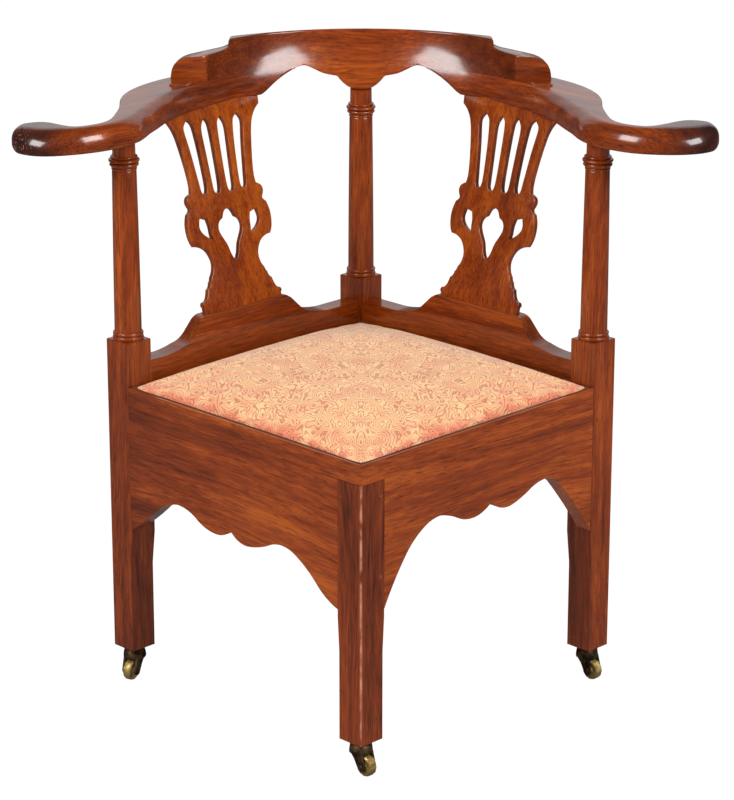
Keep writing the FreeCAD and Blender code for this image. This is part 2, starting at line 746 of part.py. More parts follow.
# The left arm's two edges in plan, paired into stations from the back to the hand.
# On the bow an edge's place is (distance outside the bow's own inner or outer
# radius, angle from the back), and on the hand it is (x, y) from the left post.
ARM_BOW = (
    ((0.0, 10.0), (0.0, 10.0)),
    ((0.0, 22.0), (0.0, 22.0)),
    ((0.0, 34.0), (0.0, 34.0)),
    ((-2.0, 44.0), (0.5, 46.0)),
    ((-6.0, 54.0), (-0.5, 56.0)),
    ((-8.4, 63.0), (-6.0, 64.5)),
    ((-9.4, 71.0), (-16.0, 71.5)),
    ((-10.0, 78.0), (-27.0, 77.5)),
    ((-10.4, 84.0), (-31.5, 83.5)),
)
ARM_HAND = (
    ((24.5, -3.0), (-13.8, 9.0)),
    ((11.0, -31.0), (-20.0, -9.0)),
    ((-9.0, -54.5), (-30.5, -23.0)),
    ((-34.0, -72.0), (-45.0, -33.5)),
    ((-60.0, -81.0), (-61.0, -36.3)),
    ((-84.0, -84.0), (-83.0, -20.5)),
    ((-106.0, -81.5), (-102.0, -7.4)),
    ((-124.0, -72.5), (-123.0, -12.0)),
    ((-136.0, -59.5), (-137.0, -27.0)),
    ((-140.3, -50.5), (-140.3, -39.5)),
)
# How far the rounded tip has dropped on top and risen below at the last stations
ARM_TIP = ((0.0, 0.0), (4.0, 0.0), (10.0, 2.0))
# The stations between which the flare turns the bow's edges into the hand's
FLARE_START = 8
FLARE_END = 12


def bow_point(radius, angle):
    """A point of the bow: the angle runs from the back towards the left."""
    turn = math.radians(angle)
    return V(-radius * math.sin(turn), radius * math.cos(turn), 0)


def arm_edges():
    """Both edges' places at each station, and half way between them on the bow."""
    stations = []
    for inner, outer in ARM_BOW:
        stations.append((bow_point(BOW_INNER + inner[0], inner[1]),
                         bow_point(BOW_OUTER + outer[0], outer[1])))
    post_axis = post_point("left")
    stations += [(post_axis + V(*front, 0), post_axis + V(*back, 0)) for front, back in ARM_HAND]
    bow_steps = [step / 2 for step in range(2 * len(ARM_BOW) - 1)]
    steps = bow_steps + [float(step) for step in range(len(ARM_BOW), len(stations))]
    edges = []
    for points in zip(*stations):
        curve = Part.BSplineCurve()
        curve.interpolate(Points=list(points), Parameters=[float(n) for n in range(len(points))])
        edges.append([curve.value(step) for step in steps])
    return steps, edges[0], edges[1]


def between(table, place):
    """A value of a table at a place between its rows."""
    low = min(int(place), len(table) - 2)
    share = place - low
    return [first + (second - first) * share for first, second in zip(table[low], table[low + 1])]


def arm_section(inner, outer, rounds, drop, rise):
    """One section across the arm: eased below, rounded above on both edges."""
    width = (outer - inner).Length
    across = (outer - inner) * (1 / width)
    low = ARM_UNDERSIDE + rise
    top = ARM_TOP - drop
    ease = min(ARM_LOWER_ROUND, 0.4 * width)
    inner_round, outer_round = [min(size, 0.45 * width) for size in rounds]

    def at(offset, level):
        place = inner + across * offset
        return V(place.x, place.y, level)

    points = [at(ease, low), at(0, low + ease)]
    for step in range(4):
        turn = math.pi / 2 * step / 3
        points.append(at(inner_round * (1 - math.cos(turn)), top - inner_round * (1 - math.sin(turn))))
    for step in range(3):
        turn = math.pi / 2 * step / 2
        points.append(at(width - outer_round * (1 - math.sin(turn)),
                         top - outer_round * (1 - math.cos(turn))))
    return points + [at(width, low + ease), at(width - ease, low)]


def arm_blank():
    """The whole left arm before its end is sawn away under the crest."""
    steps, inner_edge, outer_edge = arm_edges()
    tip_start = steps[-1] - len(ARM_TIP) + 1
    sections = []
    for step, inner, outer in zip(steps, inner_edge, outer_edge):
        hand = min(1.0, max(0.0, (step - FLARE_START) / (FLARE_END - FLARE_START)))
        rounds = (ARM_INNER_ROUND + hand * (ARM_HAND_ROUND - ARM_INNER_ROUND),
                  ARM_OUTER_ROUND + hand * (ARM_HAND_ROUND - ARM_OUTER_ROUND))
        drop, rise = between(ARM_TIP, max(0.0, step - tip_start))
        sections.append(arm_section(inner, outer, rounds, drop, rise))
    return skinned(sections)


# The outline under the arms and the crest, sawn from front to back: one half,
# from the arm's flat underside over the arch to the pendant on the column.
UNDER_ARCH = (
    ((-138.0, 0.0), (-130.0, 1.0), (-119.0, 10.0), (-106.0, 20.0), (-93.0, 28.5), (-84.0, 32.5),
     (-76.0, 33.5), (-68.0, 31.0), (-57.0, 25.5), (-47.0, 21.5), (-32.0, 18.5)),
    ((-32.0, 18.5), (-26.0, 11.5), (-19.0, 5.5), (-12.0, 1.5), (-7.0, 0.0)),
)


def under_waste():
    """What is sawn away below the arch, on both sides of the pendant."""
    def at(hand, offset, rise):
        return V(hand * -offset, 0, ARM_UNDERSIDE + rise)

    floor = -ARM_THICKNESS
    wastes = []
    for hand in (-1, 1):
        edges = []
        for run in UNDER_ARCH:
            edges += smooth_run([at(hand, *point) for point in run])
        first = at(hand, *UNDER_ARCH[0][0])
        last = at(hand, *UNDER_ARCH[-1][-1])
        low_first = V(first.x, 0, ARM_UNDERSIDE + floor)
        low_last = V(last.x, 0, ARM_UNDERSIDE + floor)
        edges += [line(last, low_last), line(low_last, low_first), line(low_first, first)]
        waste = closed_face(edges).extrude(V(0, BOW_OUTER, 0))
        waste.translate(V(0, BOW_OUTER / 2, 0))
        wastes.append(waste)
    return wastes


def arm_left():
    arm = arm_blank()
    feather = block(-CREST_HALF_JOINT, BOW_OUTER, 0, 2 * BOW_OUTER, 0, CREST_TOP)
    arm = arm.cut([feather] + under_waste())
    own_screws = [solid for solid in crest_screws() if solid.BoundBox.Center.x < 0]
    return arm.cut([column_mortise("left"), splat_groove(True)] + own_screws)


# Crest rail: a hollow-faced bow, sawn to its outline from front to back

# The hollow face from the joint up: distance outside the top's inner edge, and
# the share of the crest's rise above the arms
CREST_HOLLOW = ((-12.0, 0.118), (-8.4, 0.257), (-5.4, 0.413), (-3.0, 0.598), (-1.0, 0.924),
                (0.4, 0.977), (3.4, 1.0))
# The blank's reach to each side of the middle, in degrees, and its steps
CREST_REACH = 66.0
CREST_STEP_COUNT = 12


def crest_ring():
    """The bow before its outline is sawn: one section, stepped round the seat."""
    low = ARM_UNDERSIDE
    joint = ARM_TOP
    top = CREST_TOP
    back = BOW_OUTER
    face = back - 8.5 - CREST_TOP_THICKNESS
    foot = BOW_INNER

    def place(point, step):
        flat = bow_point(point[0], step * CREST_REACH / CREST_STEP_COUNT)
        return V(flat.x, flat.y, point[1])

    points = (
        (back, low), (foot + 2.5, low), (foot + 0.6, low + 2.0), (foot + 1.0, low + 5.5),
        (CREST_JOINT_FACE, joint),
    ) + tuple((face + offset, joint + share * CREST_RISE) for offset, share in CREST_HOLLOW) + (
        (back - 12.0, top), (back - 8.8, top - 1.4), (back - 7.0, top - 5.0),
        (back, joint + 10.0),
    )
    return skinned([[place(point, step) for point in points]
                    for step in range(-CREST_STEP_COUNT, CREST_STEP_COUNT + 1)])


# Upper outline of the crest's left half, seen from the front: distance from
# the middle and height above the arms' top, as lines and arcs through points.
CREST_END = (
    ((-250.0, 0.0), (-249.6, 8.0)),
    ((-249.6, 8.0), (-243.4, 24.0), (-228.0, 30.8)),
    ((-228.0, 30.8), (-188.0, 33.4)),
    ((-188.0, 33.4), (-177.2, 36.4), (-171.6, 41.8)),
    ((-171.6, 41.8), (-174.2, 44.9), (-169.6, 47.5)),
)


def crest_elevation():
    """The crest's whole outline above the arms' top, as a face."""
    def at(hand, offset, rise):
        share = rise / CREST_END[-1][-1][1]
        return V(hand * offset, 0, ARM_TOP + share * (CREST_TOP - ARM_TOP))

    edges = []
    for hand in (-1, 1):
        for run in CREST_END:
            points = [at(hand, *point) for point in run]
            edges.append(arc(*points) if len(points) > 2 else line(*points))
    end = CREST_END[-1][-1]
    foot = CREST_END[0][0]
    edges.append(line(at(1, *end), at(-1, *end)))
    edges.append(line(at(1, *foot), at(-1, *foot)))
    return closed_face(edges)


def crest_rail():
    ring = crest_ring()
    upper = crest_elevation().extrude(V(0, BOW_OUTER, 0))
    upper.translate(V(0, BOW_INNER - CREST_END_REACH, 0))
    pendant = block(-CREST_HALF_JOINT, CREST_HALF_JOINT, BOW_OUTER / 2, BOW_OUTER + 1,
                    ARM_UNDERSIDE, ARM_TOP)
    rail = ring.common(upper.fuse(pendant).removeSplitter())
    rail = rail.cut(under_waste())
    return rail.cut([column_mortise("back")] + crest_screws()).removeSplitter()


# Where the screws sit along the bow, in degrees from the back
CREST_SCREW_ANGLES = (-38.0, -26.0, 26.0, 38.0)


def crest_screws():
    """Countersunk screws up through the arms into the crest, two a side."""
    radius = (CREST_JOINT_FACE + BOW_OUTER) / 2
    return [screw(CREST_SCREW_DIAMETER, CREST_SCREW_HEAD, ARM_THICKNESS + CREST_SCREW_GRIP,
                  bow_point(radius, angle) + V(0, 0, ARM_UNDERSIDE))
            for angle in CREST_SCREW_ANGLES]


# Slip seat: a mitred frame, webbing and the stuffed cover

def seat_limits():
    """Back and front sides of the slip seat, as distances from the middle."""
    back = CLEAR_HALF - SEAT_GAP
    front = HALF_SIDE - LIP_THICKNESS - SEAT_GAP
    return back, front


def seat_square(inset, level):
    """The corners of the slip seat's outline in plan, drawn in by an inset."""
    back, front = seat_limits()
    low = -(back - inset)
    high = front - inset
    points = [V(low, low, level), V(high, low, level), V(high, high, level), V(low, high, level)]
    return points


def to_seat(shape):
    """From the square's own axes to the chair: its high corner points forward."""
    return turned(shape, -135.0)


def seat_bars():
    """Four bars mitred at the corners, in order round from the back left."""
    outer = seat_square(COVER_THICKNESS, LEDGE_LEVEL)
    inner = seat_square(COVER_THICKNESS + SEAT_BAR_WIDTH, LEDGE_LEVEL)
    bars = {}
    for first, name in enumerate(("back_left", "front_left", "front_right", "back_right")):
        second = (first + 1) % 4
        points = [outer[first], outer[second], inner[second], inner[first]]
        bars[name] = to_seat(polygon_face(points).extrude(UP * SEAT_BAR_THICKNESS))
    return bars


def webbing():
    """Three straps each way on top of the bars, the second set woven over."""
    back, front = seat_limits()
    edge = SEAT_BAR_WIDTH / 2
    low = -(back - edge)
    high = front - edge
    level = LEDGE_LEVEL + SEAT_BAR_THICKNESS
    pitch = (high - low) / 4
    straps = []
    for step in (1, 2, 3):
        middle = low + step * pitch
        start = middle - WEBBING_WIDTH / 2
        straps.append(block(start, start + WEBBING_WIDTH, low, high, level,
                            level + WEBBING_THICKNESS))
        straps.append(block(low, high, start, start + WEBBING_WIDTH, level + WEBBING_THICKNESS,
                            level + 2 * WEBBING_THICKNESS))
    whole = straps[0].fuse(straps[1:]).removeSplitter()
    return to_seat(whole)


# The cover from the bars up: inset from the seat's sides, height as a share of
# the edge's rise or of the crown above it, and how far each side is drawn in.
COVER_ROLL = ((0.0, 0.0, 1.0), (0.4, 0.45, 1.4), (2.6, 0.80, 2.0), (7.0, 0.96, 2.6),
              (13.0, 1.05, 3.2))
COVER_CROWN = ((24.0, 0.16, 4.0), (45.0, 0.40, 5.0), (75.0, 0.66, 6.0), (110.0, 0.85, 6.0),
               (150.0, 0.96, 4.0), (185.0, 1.0, 2.0))
# Flat steps along each side of the cover
SIDE_STEP_COUNT = 4


def cushion_section(inset, level, bow):
    """A seat outline with its sides drawn in a little between the corners."""
    corners = seat_square(inset, level)
    middle = (corners[0] + corners[2]) * 0.5
    points = []
    for index in range(4):
        start = corners[index]
        end = corners[(index + 1) % 4]
        inward = (middle - (start + end) * 0.5).normalize()
        for step in range(SIDE_STEP_COUNT):
            share = step / SIDE_STEP_COUNT
            points.append(start + (end - start) * share + inward * (4 * bow * share * (1 - share)))
    return points


def cushion():
    """The stuffed cover: a roll at the edge, then a low crown."""
    level = LEDGE_LEVEL + SEAT_BAR_THICKNESS
    rise = SEAT_EDGE_RISE
    gain = SEAT_CROWN - rise
    sections = [cushion_section(inset, level + share * rise, bow)
                for inset, share, bow in COVER_ROLL]
    sections += [cushion_section(inset, level + rise + share * gain, bow)
                 for inset, share, bow in COVER_CROWN]
    return to_seat(skinned(sections)).cut(webbing())


# Glue blocks in the four corners under the slip seat

def corner_block(name):
    """A five-sided block against both rails and the post's inner corner."""
    faces = {"front": HALF_SIDE - APRON_THICKNESS, "back": BACK_RAIL_FACE}
    first, second = [faces[side.split("_")[0]] for side, end in POST_RAILS[name]]
    corner = CLEAR_HALF
    reach = corner - BLOCK_LEG
    low = LEDGE_LEVEL - LEDGE_THICKNESS - BLOCK_THICKNESS
    points = [(first, corner), (corner, corner), (corner, second), (reach, second), (first, reach)]
    solid = prism([(x, y, low) for x, y in points], BLOCK_THICKNESS)
    # Before turning, x is the outward distance to the first rail, y to the second
    first_outward = SIDE_ANGLES[POST_RAILS[name][0][0]] + 90.0
    second_outward = SIDE_ANGLES[POST_RAILS[name][1][0]] + 90.0
    right_handed = (second_outward - first_outward - 90.0) % 360.0 < 1.0
    if right_handed:
        return turned(solid, first_outward)
    solid = solid.mirror(ORIGIN, V(1, -1, 0))
    return turned(solid, second_outward)


# Casters: plate and pintle on the leg, horn and axle that swivel, wheel

def caster_plate(name):
    """The plate under the foot, with the pintle riveted over below the horn."""
    centre = caster_centre(name)
    bottom = CASTER_HEIGHT - PLATE_THICKNESS
    plate = rod(PLATE_DIAMETER, CASTER_FLAT_COUNT, centre + V(0, 0, bottom), UP, PLATE_THICKNESS)
    crown_bottom = bottom - PLATE_GAP - CROWN_THICKNESS
    rivet = crown_bottom - PLATE_GAP
    pintle = rod(PINTLE_DIAMETER, CASTER_FLAT_COUNT, centre + V(0, 0, rivet), UP, bottom - rivet)
    rows = ((PINTLE_DIAMETER / 2 - 0.6, rivet - RIVET_HEIGHT),
            (PINTLE_DIAMETER / 2 + 1.4, rivet - 0.4), (PINTLE_DIAMETER / 2 + 1.4, rivet))
    head = moved(many_sided(rows, CASTER_FLAT_COUNT // 2), centre.x, centre.y, 0)
    whole = plate.fuse([pintle, head]).removeSplitter()
    return whole.cut([moved(solid, centre.x, centre.y, 0) for solid in plate_screws()])


def plate_screws():
    """Three countersunk screws about the origin, up into the foot."""
    bottom = CASTER_HEIGHT - PLATE_THICKNESS
    return [screw(SCREW_DIAMETER, SCREW_HEAD, SCREW_LENGTH, V(x, y, bottom))
            for x, y in screw_places()]


def caster_frame(shape, name):
    """From the caster's own frame, trailing along +X, to its leg."""
    placed = turned(shape, TRAIL_ANGLES[name])
    placed.translate(caster_centre(name))
    return placed


def horn(name):
    """A domed crown with two cheeks that taper to the axle's bosses."""
    crown_top = CASTER_HEIGHT - PLATE_THICKNESS - PLATE_GAP
    crown_bottom = crown_top - CROWN_THICKNESS
    radius = CROWN_DIAMETER / 2
    inner = WHEEL_WIDTH / 2 + WHEEL_CLEARANCE
    outer = inner + CHEEK_THICKNESS
    rows = ((radius, crown_bottom), (radius, crown_bottom + 3.0), (0.94 * radius, crown_top - 4.2),
            (0.80 * radius, crown_top - 1.4), (0.55 * radius, crown_top))
    crown = many_sided(rows, CASTER_FLAT_COUNT)
    axle_place = V(CASTER_TRAIL, 0, WHEEL_DIAMETER / 2)
    shoulder = V(radius * 0.72, 0, crown_bottom + 2.0)
    fore = V(-shoulder.x, 0, shoulder.z)
    aft_turn = boss_turn(axle_place, shoulder, 1)
    fore_turn = boss_turn(axle_place, fore, -1)
    boss = []
    for step in range(BOSS_STEP_COUNT + 1):
        turn = aft_turn + (fore_turn - aft_turn) * step / BOSS_STEP_COUNT
        boss.append(axle_place + V(math.cos(turn), 0, math.sin(turn)) * AXLE_BOSS)
    bulge = (fore + boss[-1]) * 0.5 + V(1.2, 0, 1.2)
    cheek = polygon_face([fore, shoulder] + boss + [bulge]).extrude(V(0, CHEEK_THICKNESS, 0))
    body = crown.fuse([moved(cheek, 0, inner, 0), moved(cheek, 0, -outer, 0)])
    across = V(0, 1, 0)
    room = rod(WHEEL_DIAMETER + 4, CASTER_FLAT_COUNT, axle_place - across * inner, across, 2 * inner)
    pintle_hole = clear_hole(PINTLE_DIAMETER, V(0, 0, crown_bottom - 1), UP, CROWN_THICKNESS + 2)
    axle_hole = clear_hole(AXLE_DIAMETER, axle_place - across * (outer + 1), across, 2 * outer + 2)
    body = body.cut([room, pintle_hole, axle_hole]).removeSplitter()
    return caster_frame(body, name)


def clear_hole(diameter, start, direction, length):
    """A broached hole whose flats run clear of a pin turning in it."""
    flats = CASTER_FLAT_COUNT
    return rod((diameter + 2 * RUNNING_GAP) / math.cos(math.pi / flats), flats, start, direction,
               length)


def boss_turn(axle_place, shoulder, hand):
    """The direction from the axle to where a cheek's straight side meets its boss."""
    lean = shoulder - axle_place
    return math.atan2(-hand * lean.x, hand * lean.z)


def axle(name):
    """The axle, riveted over a little proud of both cheeks."""
    outer = WHEEL_WIDTH / 2 + WHEEL_CLEARANCE + CHEEK_THICKNESS
    centre = V(CASTER_TRAIL, 0, WHEEL_DIAMETER / 2)
    pin = rod(AXLE_DIAMETER, CASTER_FLAT_COUNT, centre + V(0, -outer, 0), V(0, 1, 0), 2 * outer)
    rows = ((AXLE_DIAMETER / 2 + 1.2, 0), (AXLE_DIAMETER / 2 - 0.4, 1.0))
    heads = []
    for hand in (-1, 1):
        head = many_sided(rows, CASTER_FLAT_COUNT // 2)
        head.rotate(ORIGIN, V(-hand, 0, 0), 90)
        heads.append(moved(head, centre.x, hand * outer, centre.z))
    return caster_frame(pin.fuse(heads).removeSplitter(), name)


def wheel(name):
    """A solid brass wheel with eased edges and a slightly raised hub."""
    radius = WHEEL_DIAMETER / 2
    half = WHEEL_WIDTH / 2
    hub = HUB_DIAMETER / 2
    flank = half - HUB_STEP
    tyre = many_sided(((radius - WHEEL_EASE, -flank), (radius, WHEEL_EASE - flank),
                       (radius, flank - WHEEL_EASE), (radius - WHEEL_EASE, flank)), CASTER_FLAT_COUNT)
    middle = many_sided(((hub - 0.5, -half), (hub, -flank), (hub, flank), (hub - 0.5, half)),
                        CASTER_FLAT_COUNT)
    bore = clear_hole(AXLE_DIAMETER, V(0, 0, -half - 1), UP, 2 * half + 2)
    solid = tyre.fuse(middle).cut(bore)
    solid.rotate(ORIGIN, V(1, 0, 0), 90)
    solid.translate(V(CASTER_TRAIL, 0, radius))
    return caster_frame(solid, name)


# All pieces by name

def build():
    nodes = {}
    nodes["front_leg"] = post("front")
    for name in ("left", "right", "back"):
        nodes[name + "_post"] = post(name)
    nodes["front_left_apron"] = apron("front_left", LEFT_APRON_LOWER, -1)
    nodes["front_right_apron"] = apron("front_right", RIGHT_APRON_LOWER, 1)
    nodes["front_left_lip"] = lip("front_left", -1)
    nodes["front_right_lip"] = lip("front_right", 1)
    for side in ("back_left", "back_right"):
        nodes[side + "_rail"] = back_rail(side)
        nodes[side + "_seat_ledge"] = seat_ledge(side)
    nodes["left_shoe"] = shoe_left()
    nodes["right_shoe"] = mirrored(nodes["left_shoe"])
    nodes["left_splat"] = splat_left()
    nodes["right_splat"] = mirrored(nodes["left_splat"])
    nodes["left_arm"] = arm_left()
    nodes["right_arm"] = mirrored(nodes["left_arm"])
    nodes["crest_rail"] = crest_rail()
    nodes["crest_screws"] = Part.makeCompound(crest_screws())
    for name, bar in seat_bars().items():
        nodes["seat_bar_" + name] = bar
    nodes["seat_webbing"] = webbing()
    nodes["seat_cushion"] = cushion()
    for name in POST_ANGLES:
        nodes[name + "_corner_block"] = corner_block(name)
    pegs = []
    for side, angle in SIDE_ANGLES.items():
        for end in (-1, 1):
            pegs += [turned(peg, angle) for peg in peg_solids(side, end)]
    nodes["joint_pegs"] = Part.makeCompound(pegs)
    screws = []
    for name in POST_ANGLES:
        centre = caster_centre(name)
        screws += [moved(solid, centre.x, centre.y, 0) for solid in plate_screws()]
        nodes[name + "_caster_plate"] = caster_plate(name)
        nodes[name + "_caster_horn"] = horn(name)
        nodes[name + "_caster_axle"] = axle(name)
        nodes[name + "_caster_wheel"] = wheel(name)
    nodes["caster_screws"] = Part.makeCompound(screws)
    return nodes


def main():
    os.makedirs("parts", exist_ok=True)
    for name, shape in build().items():
        placed = shape.copy()
        placed.translate(V(0, SEAT_CENTRE_Y, 0))
        placed.exportStep(os.path.join("parts", name + ".step"))
        box = placed.optimalBoundingBox()
        print("%-24s solids %d valid %s volume %.0f z %.1f..%.1f" % (
            name, len(placed.Solids), placed.isValid(), placed.Volume, box.ZMin, box.ZMax))


main()
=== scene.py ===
# %% [markdown]
# # A corner chair, dressed for its photograph
# The solids come from the shared frame, where every joint of the chair already
# fits. This lesson gives them what a drawing office leaves out: polished
# mahogany with its grain running the right way in every board, a stuffed seat
# in woven damask, and small aged brass casters.
#
# Everything is in metres. The floor is Z = 0 and the front leg points to -Y.

# %% Load the frame
import json
import math

import bmesh
import bpy
import numpy as np
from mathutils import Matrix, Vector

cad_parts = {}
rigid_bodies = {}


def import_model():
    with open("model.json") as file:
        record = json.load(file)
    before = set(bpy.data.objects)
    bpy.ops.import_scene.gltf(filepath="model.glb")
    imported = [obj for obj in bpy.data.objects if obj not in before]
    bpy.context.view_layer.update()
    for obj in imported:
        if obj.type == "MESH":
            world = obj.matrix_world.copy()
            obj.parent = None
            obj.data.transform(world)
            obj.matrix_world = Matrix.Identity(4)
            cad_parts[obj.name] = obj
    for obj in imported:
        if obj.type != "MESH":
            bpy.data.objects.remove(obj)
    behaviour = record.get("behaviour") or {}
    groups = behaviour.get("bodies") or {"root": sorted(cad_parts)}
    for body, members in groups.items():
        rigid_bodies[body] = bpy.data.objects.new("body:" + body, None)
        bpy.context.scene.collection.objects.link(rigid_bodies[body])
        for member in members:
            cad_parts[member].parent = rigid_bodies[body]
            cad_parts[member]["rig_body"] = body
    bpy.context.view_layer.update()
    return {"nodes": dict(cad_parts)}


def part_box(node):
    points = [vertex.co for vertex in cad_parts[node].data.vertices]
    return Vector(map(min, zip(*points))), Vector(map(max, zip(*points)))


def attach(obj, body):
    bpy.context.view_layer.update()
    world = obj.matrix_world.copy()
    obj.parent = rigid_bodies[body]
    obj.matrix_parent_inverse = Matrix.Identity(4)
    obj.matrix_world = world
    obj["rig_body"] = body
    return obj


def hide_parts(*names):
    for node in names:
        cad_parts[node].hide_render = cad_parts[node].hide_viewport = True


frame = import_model()
nodes = frame["nodes"]
scene = bpy.context.scene
for name in ("Cube", "Light", "Camera"):
    leftover = bpy.data.objects.get(name)
    if leftover is not None:
        bpy.data.objects.remove(leftover)


def put(name, data):
    """A new object at the origin that shows a mesh, a curve, a lamp or a camera."""
    thing = bpy.data.objects.new(name, data)
    scene.collection.objects.link(thing)
    return thing


# %% [markdown]
# ## Places that the frame gives
# A chair like this is laid out from the square of its seat, set cornerwise. The
# front leg and the back post stand on its diagonal, so the middle between their
# outer arrises is its centre. It could be typed in, but read from the frame it
# follows the solids when they change.

# %% Seat centre and the sides' directions
front_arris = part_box("front_leg")[0].y
back_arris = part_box("back_post")[1].y
seat_centre = np.array([0.0, (front_arris + back_arris) / 2, 0.0])
rail_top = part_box("front_left_lip")[1].z
half_diagonal = math.sqrt(0.5)
ALONG_LEFT = (half_diagonal, half_diagonal, 0.0)
ALONG_RIGHT = (half_diagonal, -half_diagonal, 0.0)
print("seat centre y", round(seat_centre[1], 4), "rail top", round(rail_top, 4))

# %% [markdown]
# ## The camera
# A long lens looks down a little from straight ahead. Its height, distance and
# tilt could be found by trial, but the photograph's own perspective gives them:
# the square of the seat rail and the four legs fix all three.

# %% Camera
# In the photograph's pixels: its width, the chair's middle and the lens
PHOTO_WIDTH = 734
CENTRE_PIXEL = 360.93
FOCAL_PIXELS = 3076.4
# Degrees down, and metres from the seat's centre and from the floor
CAMERA_TILT = 18.291
CAMERA_BACK = 3.7553
CAMERA_HEIGHT = 1.6264

camera_data = bpy.data.cameras.new("camera")
camera_data.sensor_fit = "HORIZONTAL"
camera_data.sensor_width = 36.0
camera_data.lens = FOCAL_PIXELS / PHOTO_WIDTH * camera_data.sensor_width
camera_data.shift_x = (PHOTO_WIDTH / 2 - CENTRE_PIXEL) / PHOTO_WIDTH
camera_data.clip_end = 50.0
camera = put("camera", camera_data)
camera.location = (0.0, seat_centre[1] - CAMERA_BACK, CAMERA_HEIGHT)
camera.rotation_euler = (math.radians(90 - CAMERA_TILT), 0.0, 0.0)
scene.camera = camera
scene.view_settings.view_transform = "Standard"
print("lens", round(camera_data.lens, 1), "mm")

# %% [markdown]
# ## Writing shaders as sums
# A finish is a sum of patterns. It could be wired node by node, but it reads
# better as arithmetic: `Wire` wraps one output socket, and its operators add Math
# nodes. `Finish` is a material with one method that adds any node: its type, its
# settings, then what goes into its sockets.

# %% Wire and Finish
class Wire:
    """One output socket; +, - and * make Math nodes."""

    def __init__(self, finish, socket):
        self.finish = finish
        self.socket = socket

    def _maths(self, operation, first, second=0.0):
        return self.finish.node("ShaderNodeMath", {"operation": operation}, {0: first, 1: second})

    def __add__(self, other):
        return self._maths("ADD", self, other)

    __radd__ = __add__

    def __sub__(self, other):
        return self._maths("SUBTRACT", self, other)

    def __rsub__(self, other):
        return self._maths("SUBTRACT", other, self)

    def __mul__(self, other):
        return self._maths("MULTIPLY", self, other)

    __rmul__ = __mul__

    def sine(self):
        return self._maths("SINE", self)

    def size(self):
        return self._maths("ABSOLUTE", self)

    def steps(self, low, high):
        """0 below low, 1 above high and a smooth ramp between them."""
        settings = {"interpolation_type": "SMOOTHSTEP"}
        inputs = {"Value": self, "From Min": low, "From Max": high}
        return self.finish.node("ShaderNodeMapRange", settings, inputs, "Result")


class Finish:
    """A material, its shader and one way to add any other node."""

    def __init__(self, name, **shader_values):
        self.material = bpy.data.materials.new(name)
        self.material.use_nodes = True
        self.tree = self.material.node_tree
        self.shader = self.tree.nodes["Principled BSDF"]
        for socket, value in shader_values.items():
            self.shader.inputs[socket.replace("_", " ")].default_value = value

    def node(self, kind, settings=None, inputs=None, output=0):
        """Add a node: settings first, then values and links; gives one output."""
        made = self.tree.nodes.new(kind)
        for key, value in (settings or {}).items():
            if key == "stops":
                self._stops(made.color_ramp, value)
            else:
                setattr(made, key, value)
        for key, value in (inputs or {}).items():
            if isinstance(value, Wire):
                self.tree.links.new(value.socket, made.inputs[key])
            else:
                made.inputs[key].default_value = value
        return Wire(self, made.outputs[output])

    def _stops(self, ramp, stops):
        while len(ramp.elements) < len(stops):
            ramp.elements.new(0.5)
        for element, (place, colour) in zip(ramp.elements, stops):
            element.position = place
            element.color = colour

    def feed(self, socket, wire):
        self.tree.links.new(wire.socket, self.shader.inputs[socket])

    def ramp(self, factor, stops):
        return self.node("ShaderNodeValToRGB", {"stops": stops}, {"Fac": factor}, "Color")

    def mix(self, factor, first, second):
        """Mix two colours; the sockets of the colour version are numbers 6 and 7."""
        inputs = {0: factor, 6: first, 7: second}
        return self.node("ShaderNodeMix", {"data_type": "RGBA"}, inputs, 2)

    def noise(self, vector, scale, detail=2.0, rough=0.5, output="Fac"):
        """Noise of one scale all round, or of three scales, one for each direction."""
        if isinstance(scale, tuple):
            vector = self.scaled(vector, scale)
            scale = 1.0
        inputs = {"Vector": vector, "Scale": scale, "Detail": detail, "Roughness": rough}
        return self.node("ShaderNodeTexNoise", {}, inputs, output)

    def scaled(self, vector, factors):
        return self.node("ShaderNodeVectorMath", {"operation": "MULTIPLY"}, {0: vector, 1: factors})

    def shifted(self, vector, other):
        return self.node("ShaderNodeVectorMath", {"operation": "ADD"}, {0: vector, 1: other})

    def parts(self, vector):
        """The x and the y of a vector, as numbers."""
        split = self.tree.nodes.new("ShaderNodeSeparateXYZ")
        self.tree.links.new(vector.socket, split.inputs[0])
        return Wire(self, split.outputs[0]), Wire(self, split.outputs[1])

    def turned(self, vector, yaw, shift=(0.0, 0.0, 0.0)):
        """A vector turned about the upright and then shifted."""
        inputs = {"Vector": vector, "Rotation": (0.0, 0.0, yaw), "Location": shift}
        return self.node("ShaderNodeMapping", {}, inputs)

    def bump(self, height, strength, distance):
        inputs = {"Height": height, "Strength": strength, "Distance": distance}
        self.feed("Normal", self.node("ShaderNodeBump", {}, inputs, "Normal"))


def linear(red, green, blue):
    """A colour as it is read off a screen, 0 to 255, made linear, with its alpha of 1."""
    shares = np.array([red, green, blue]) / 255.0
    curve = np.where(shares <= 0.04045, shares / 12.92, ((shares + 0.055) / 1.055) ** 2.4)
    return (*(float(v) for v in curve), 1.0)


# %% [markdown]
# ## Polished mahogany
# The chair is of old mahogany, red brown under a soft polish. A picture of wood
# wrapped round each piece would tear at the corners, and wood is cut from a solid,
# so its figure is worked out in three dimensions and only turned to lie along
# each board. Broad soft bands come from noise stretched along the grain; ribbon
# stripes and the fine dark pores are the same noise, narrower and finer. The
# polish is a clear coat over a fairly smooth surface, and the pores keep it from
# being a mirror.

# %% Mahogany
# How close each pattern lies: along the grain, then twice across it
DRIFT = (3.0, 9.0, 9.0)
WANDER = (2.0, 5.0, 5.0)
BANDS = (2.4, 65.0, 65.0)
STREAKS = (20.0, 420.0, 420.0)
FIBRES = (24.0, 360.0, 360.0)
PORES = (55.0, 900.0, 900.0)
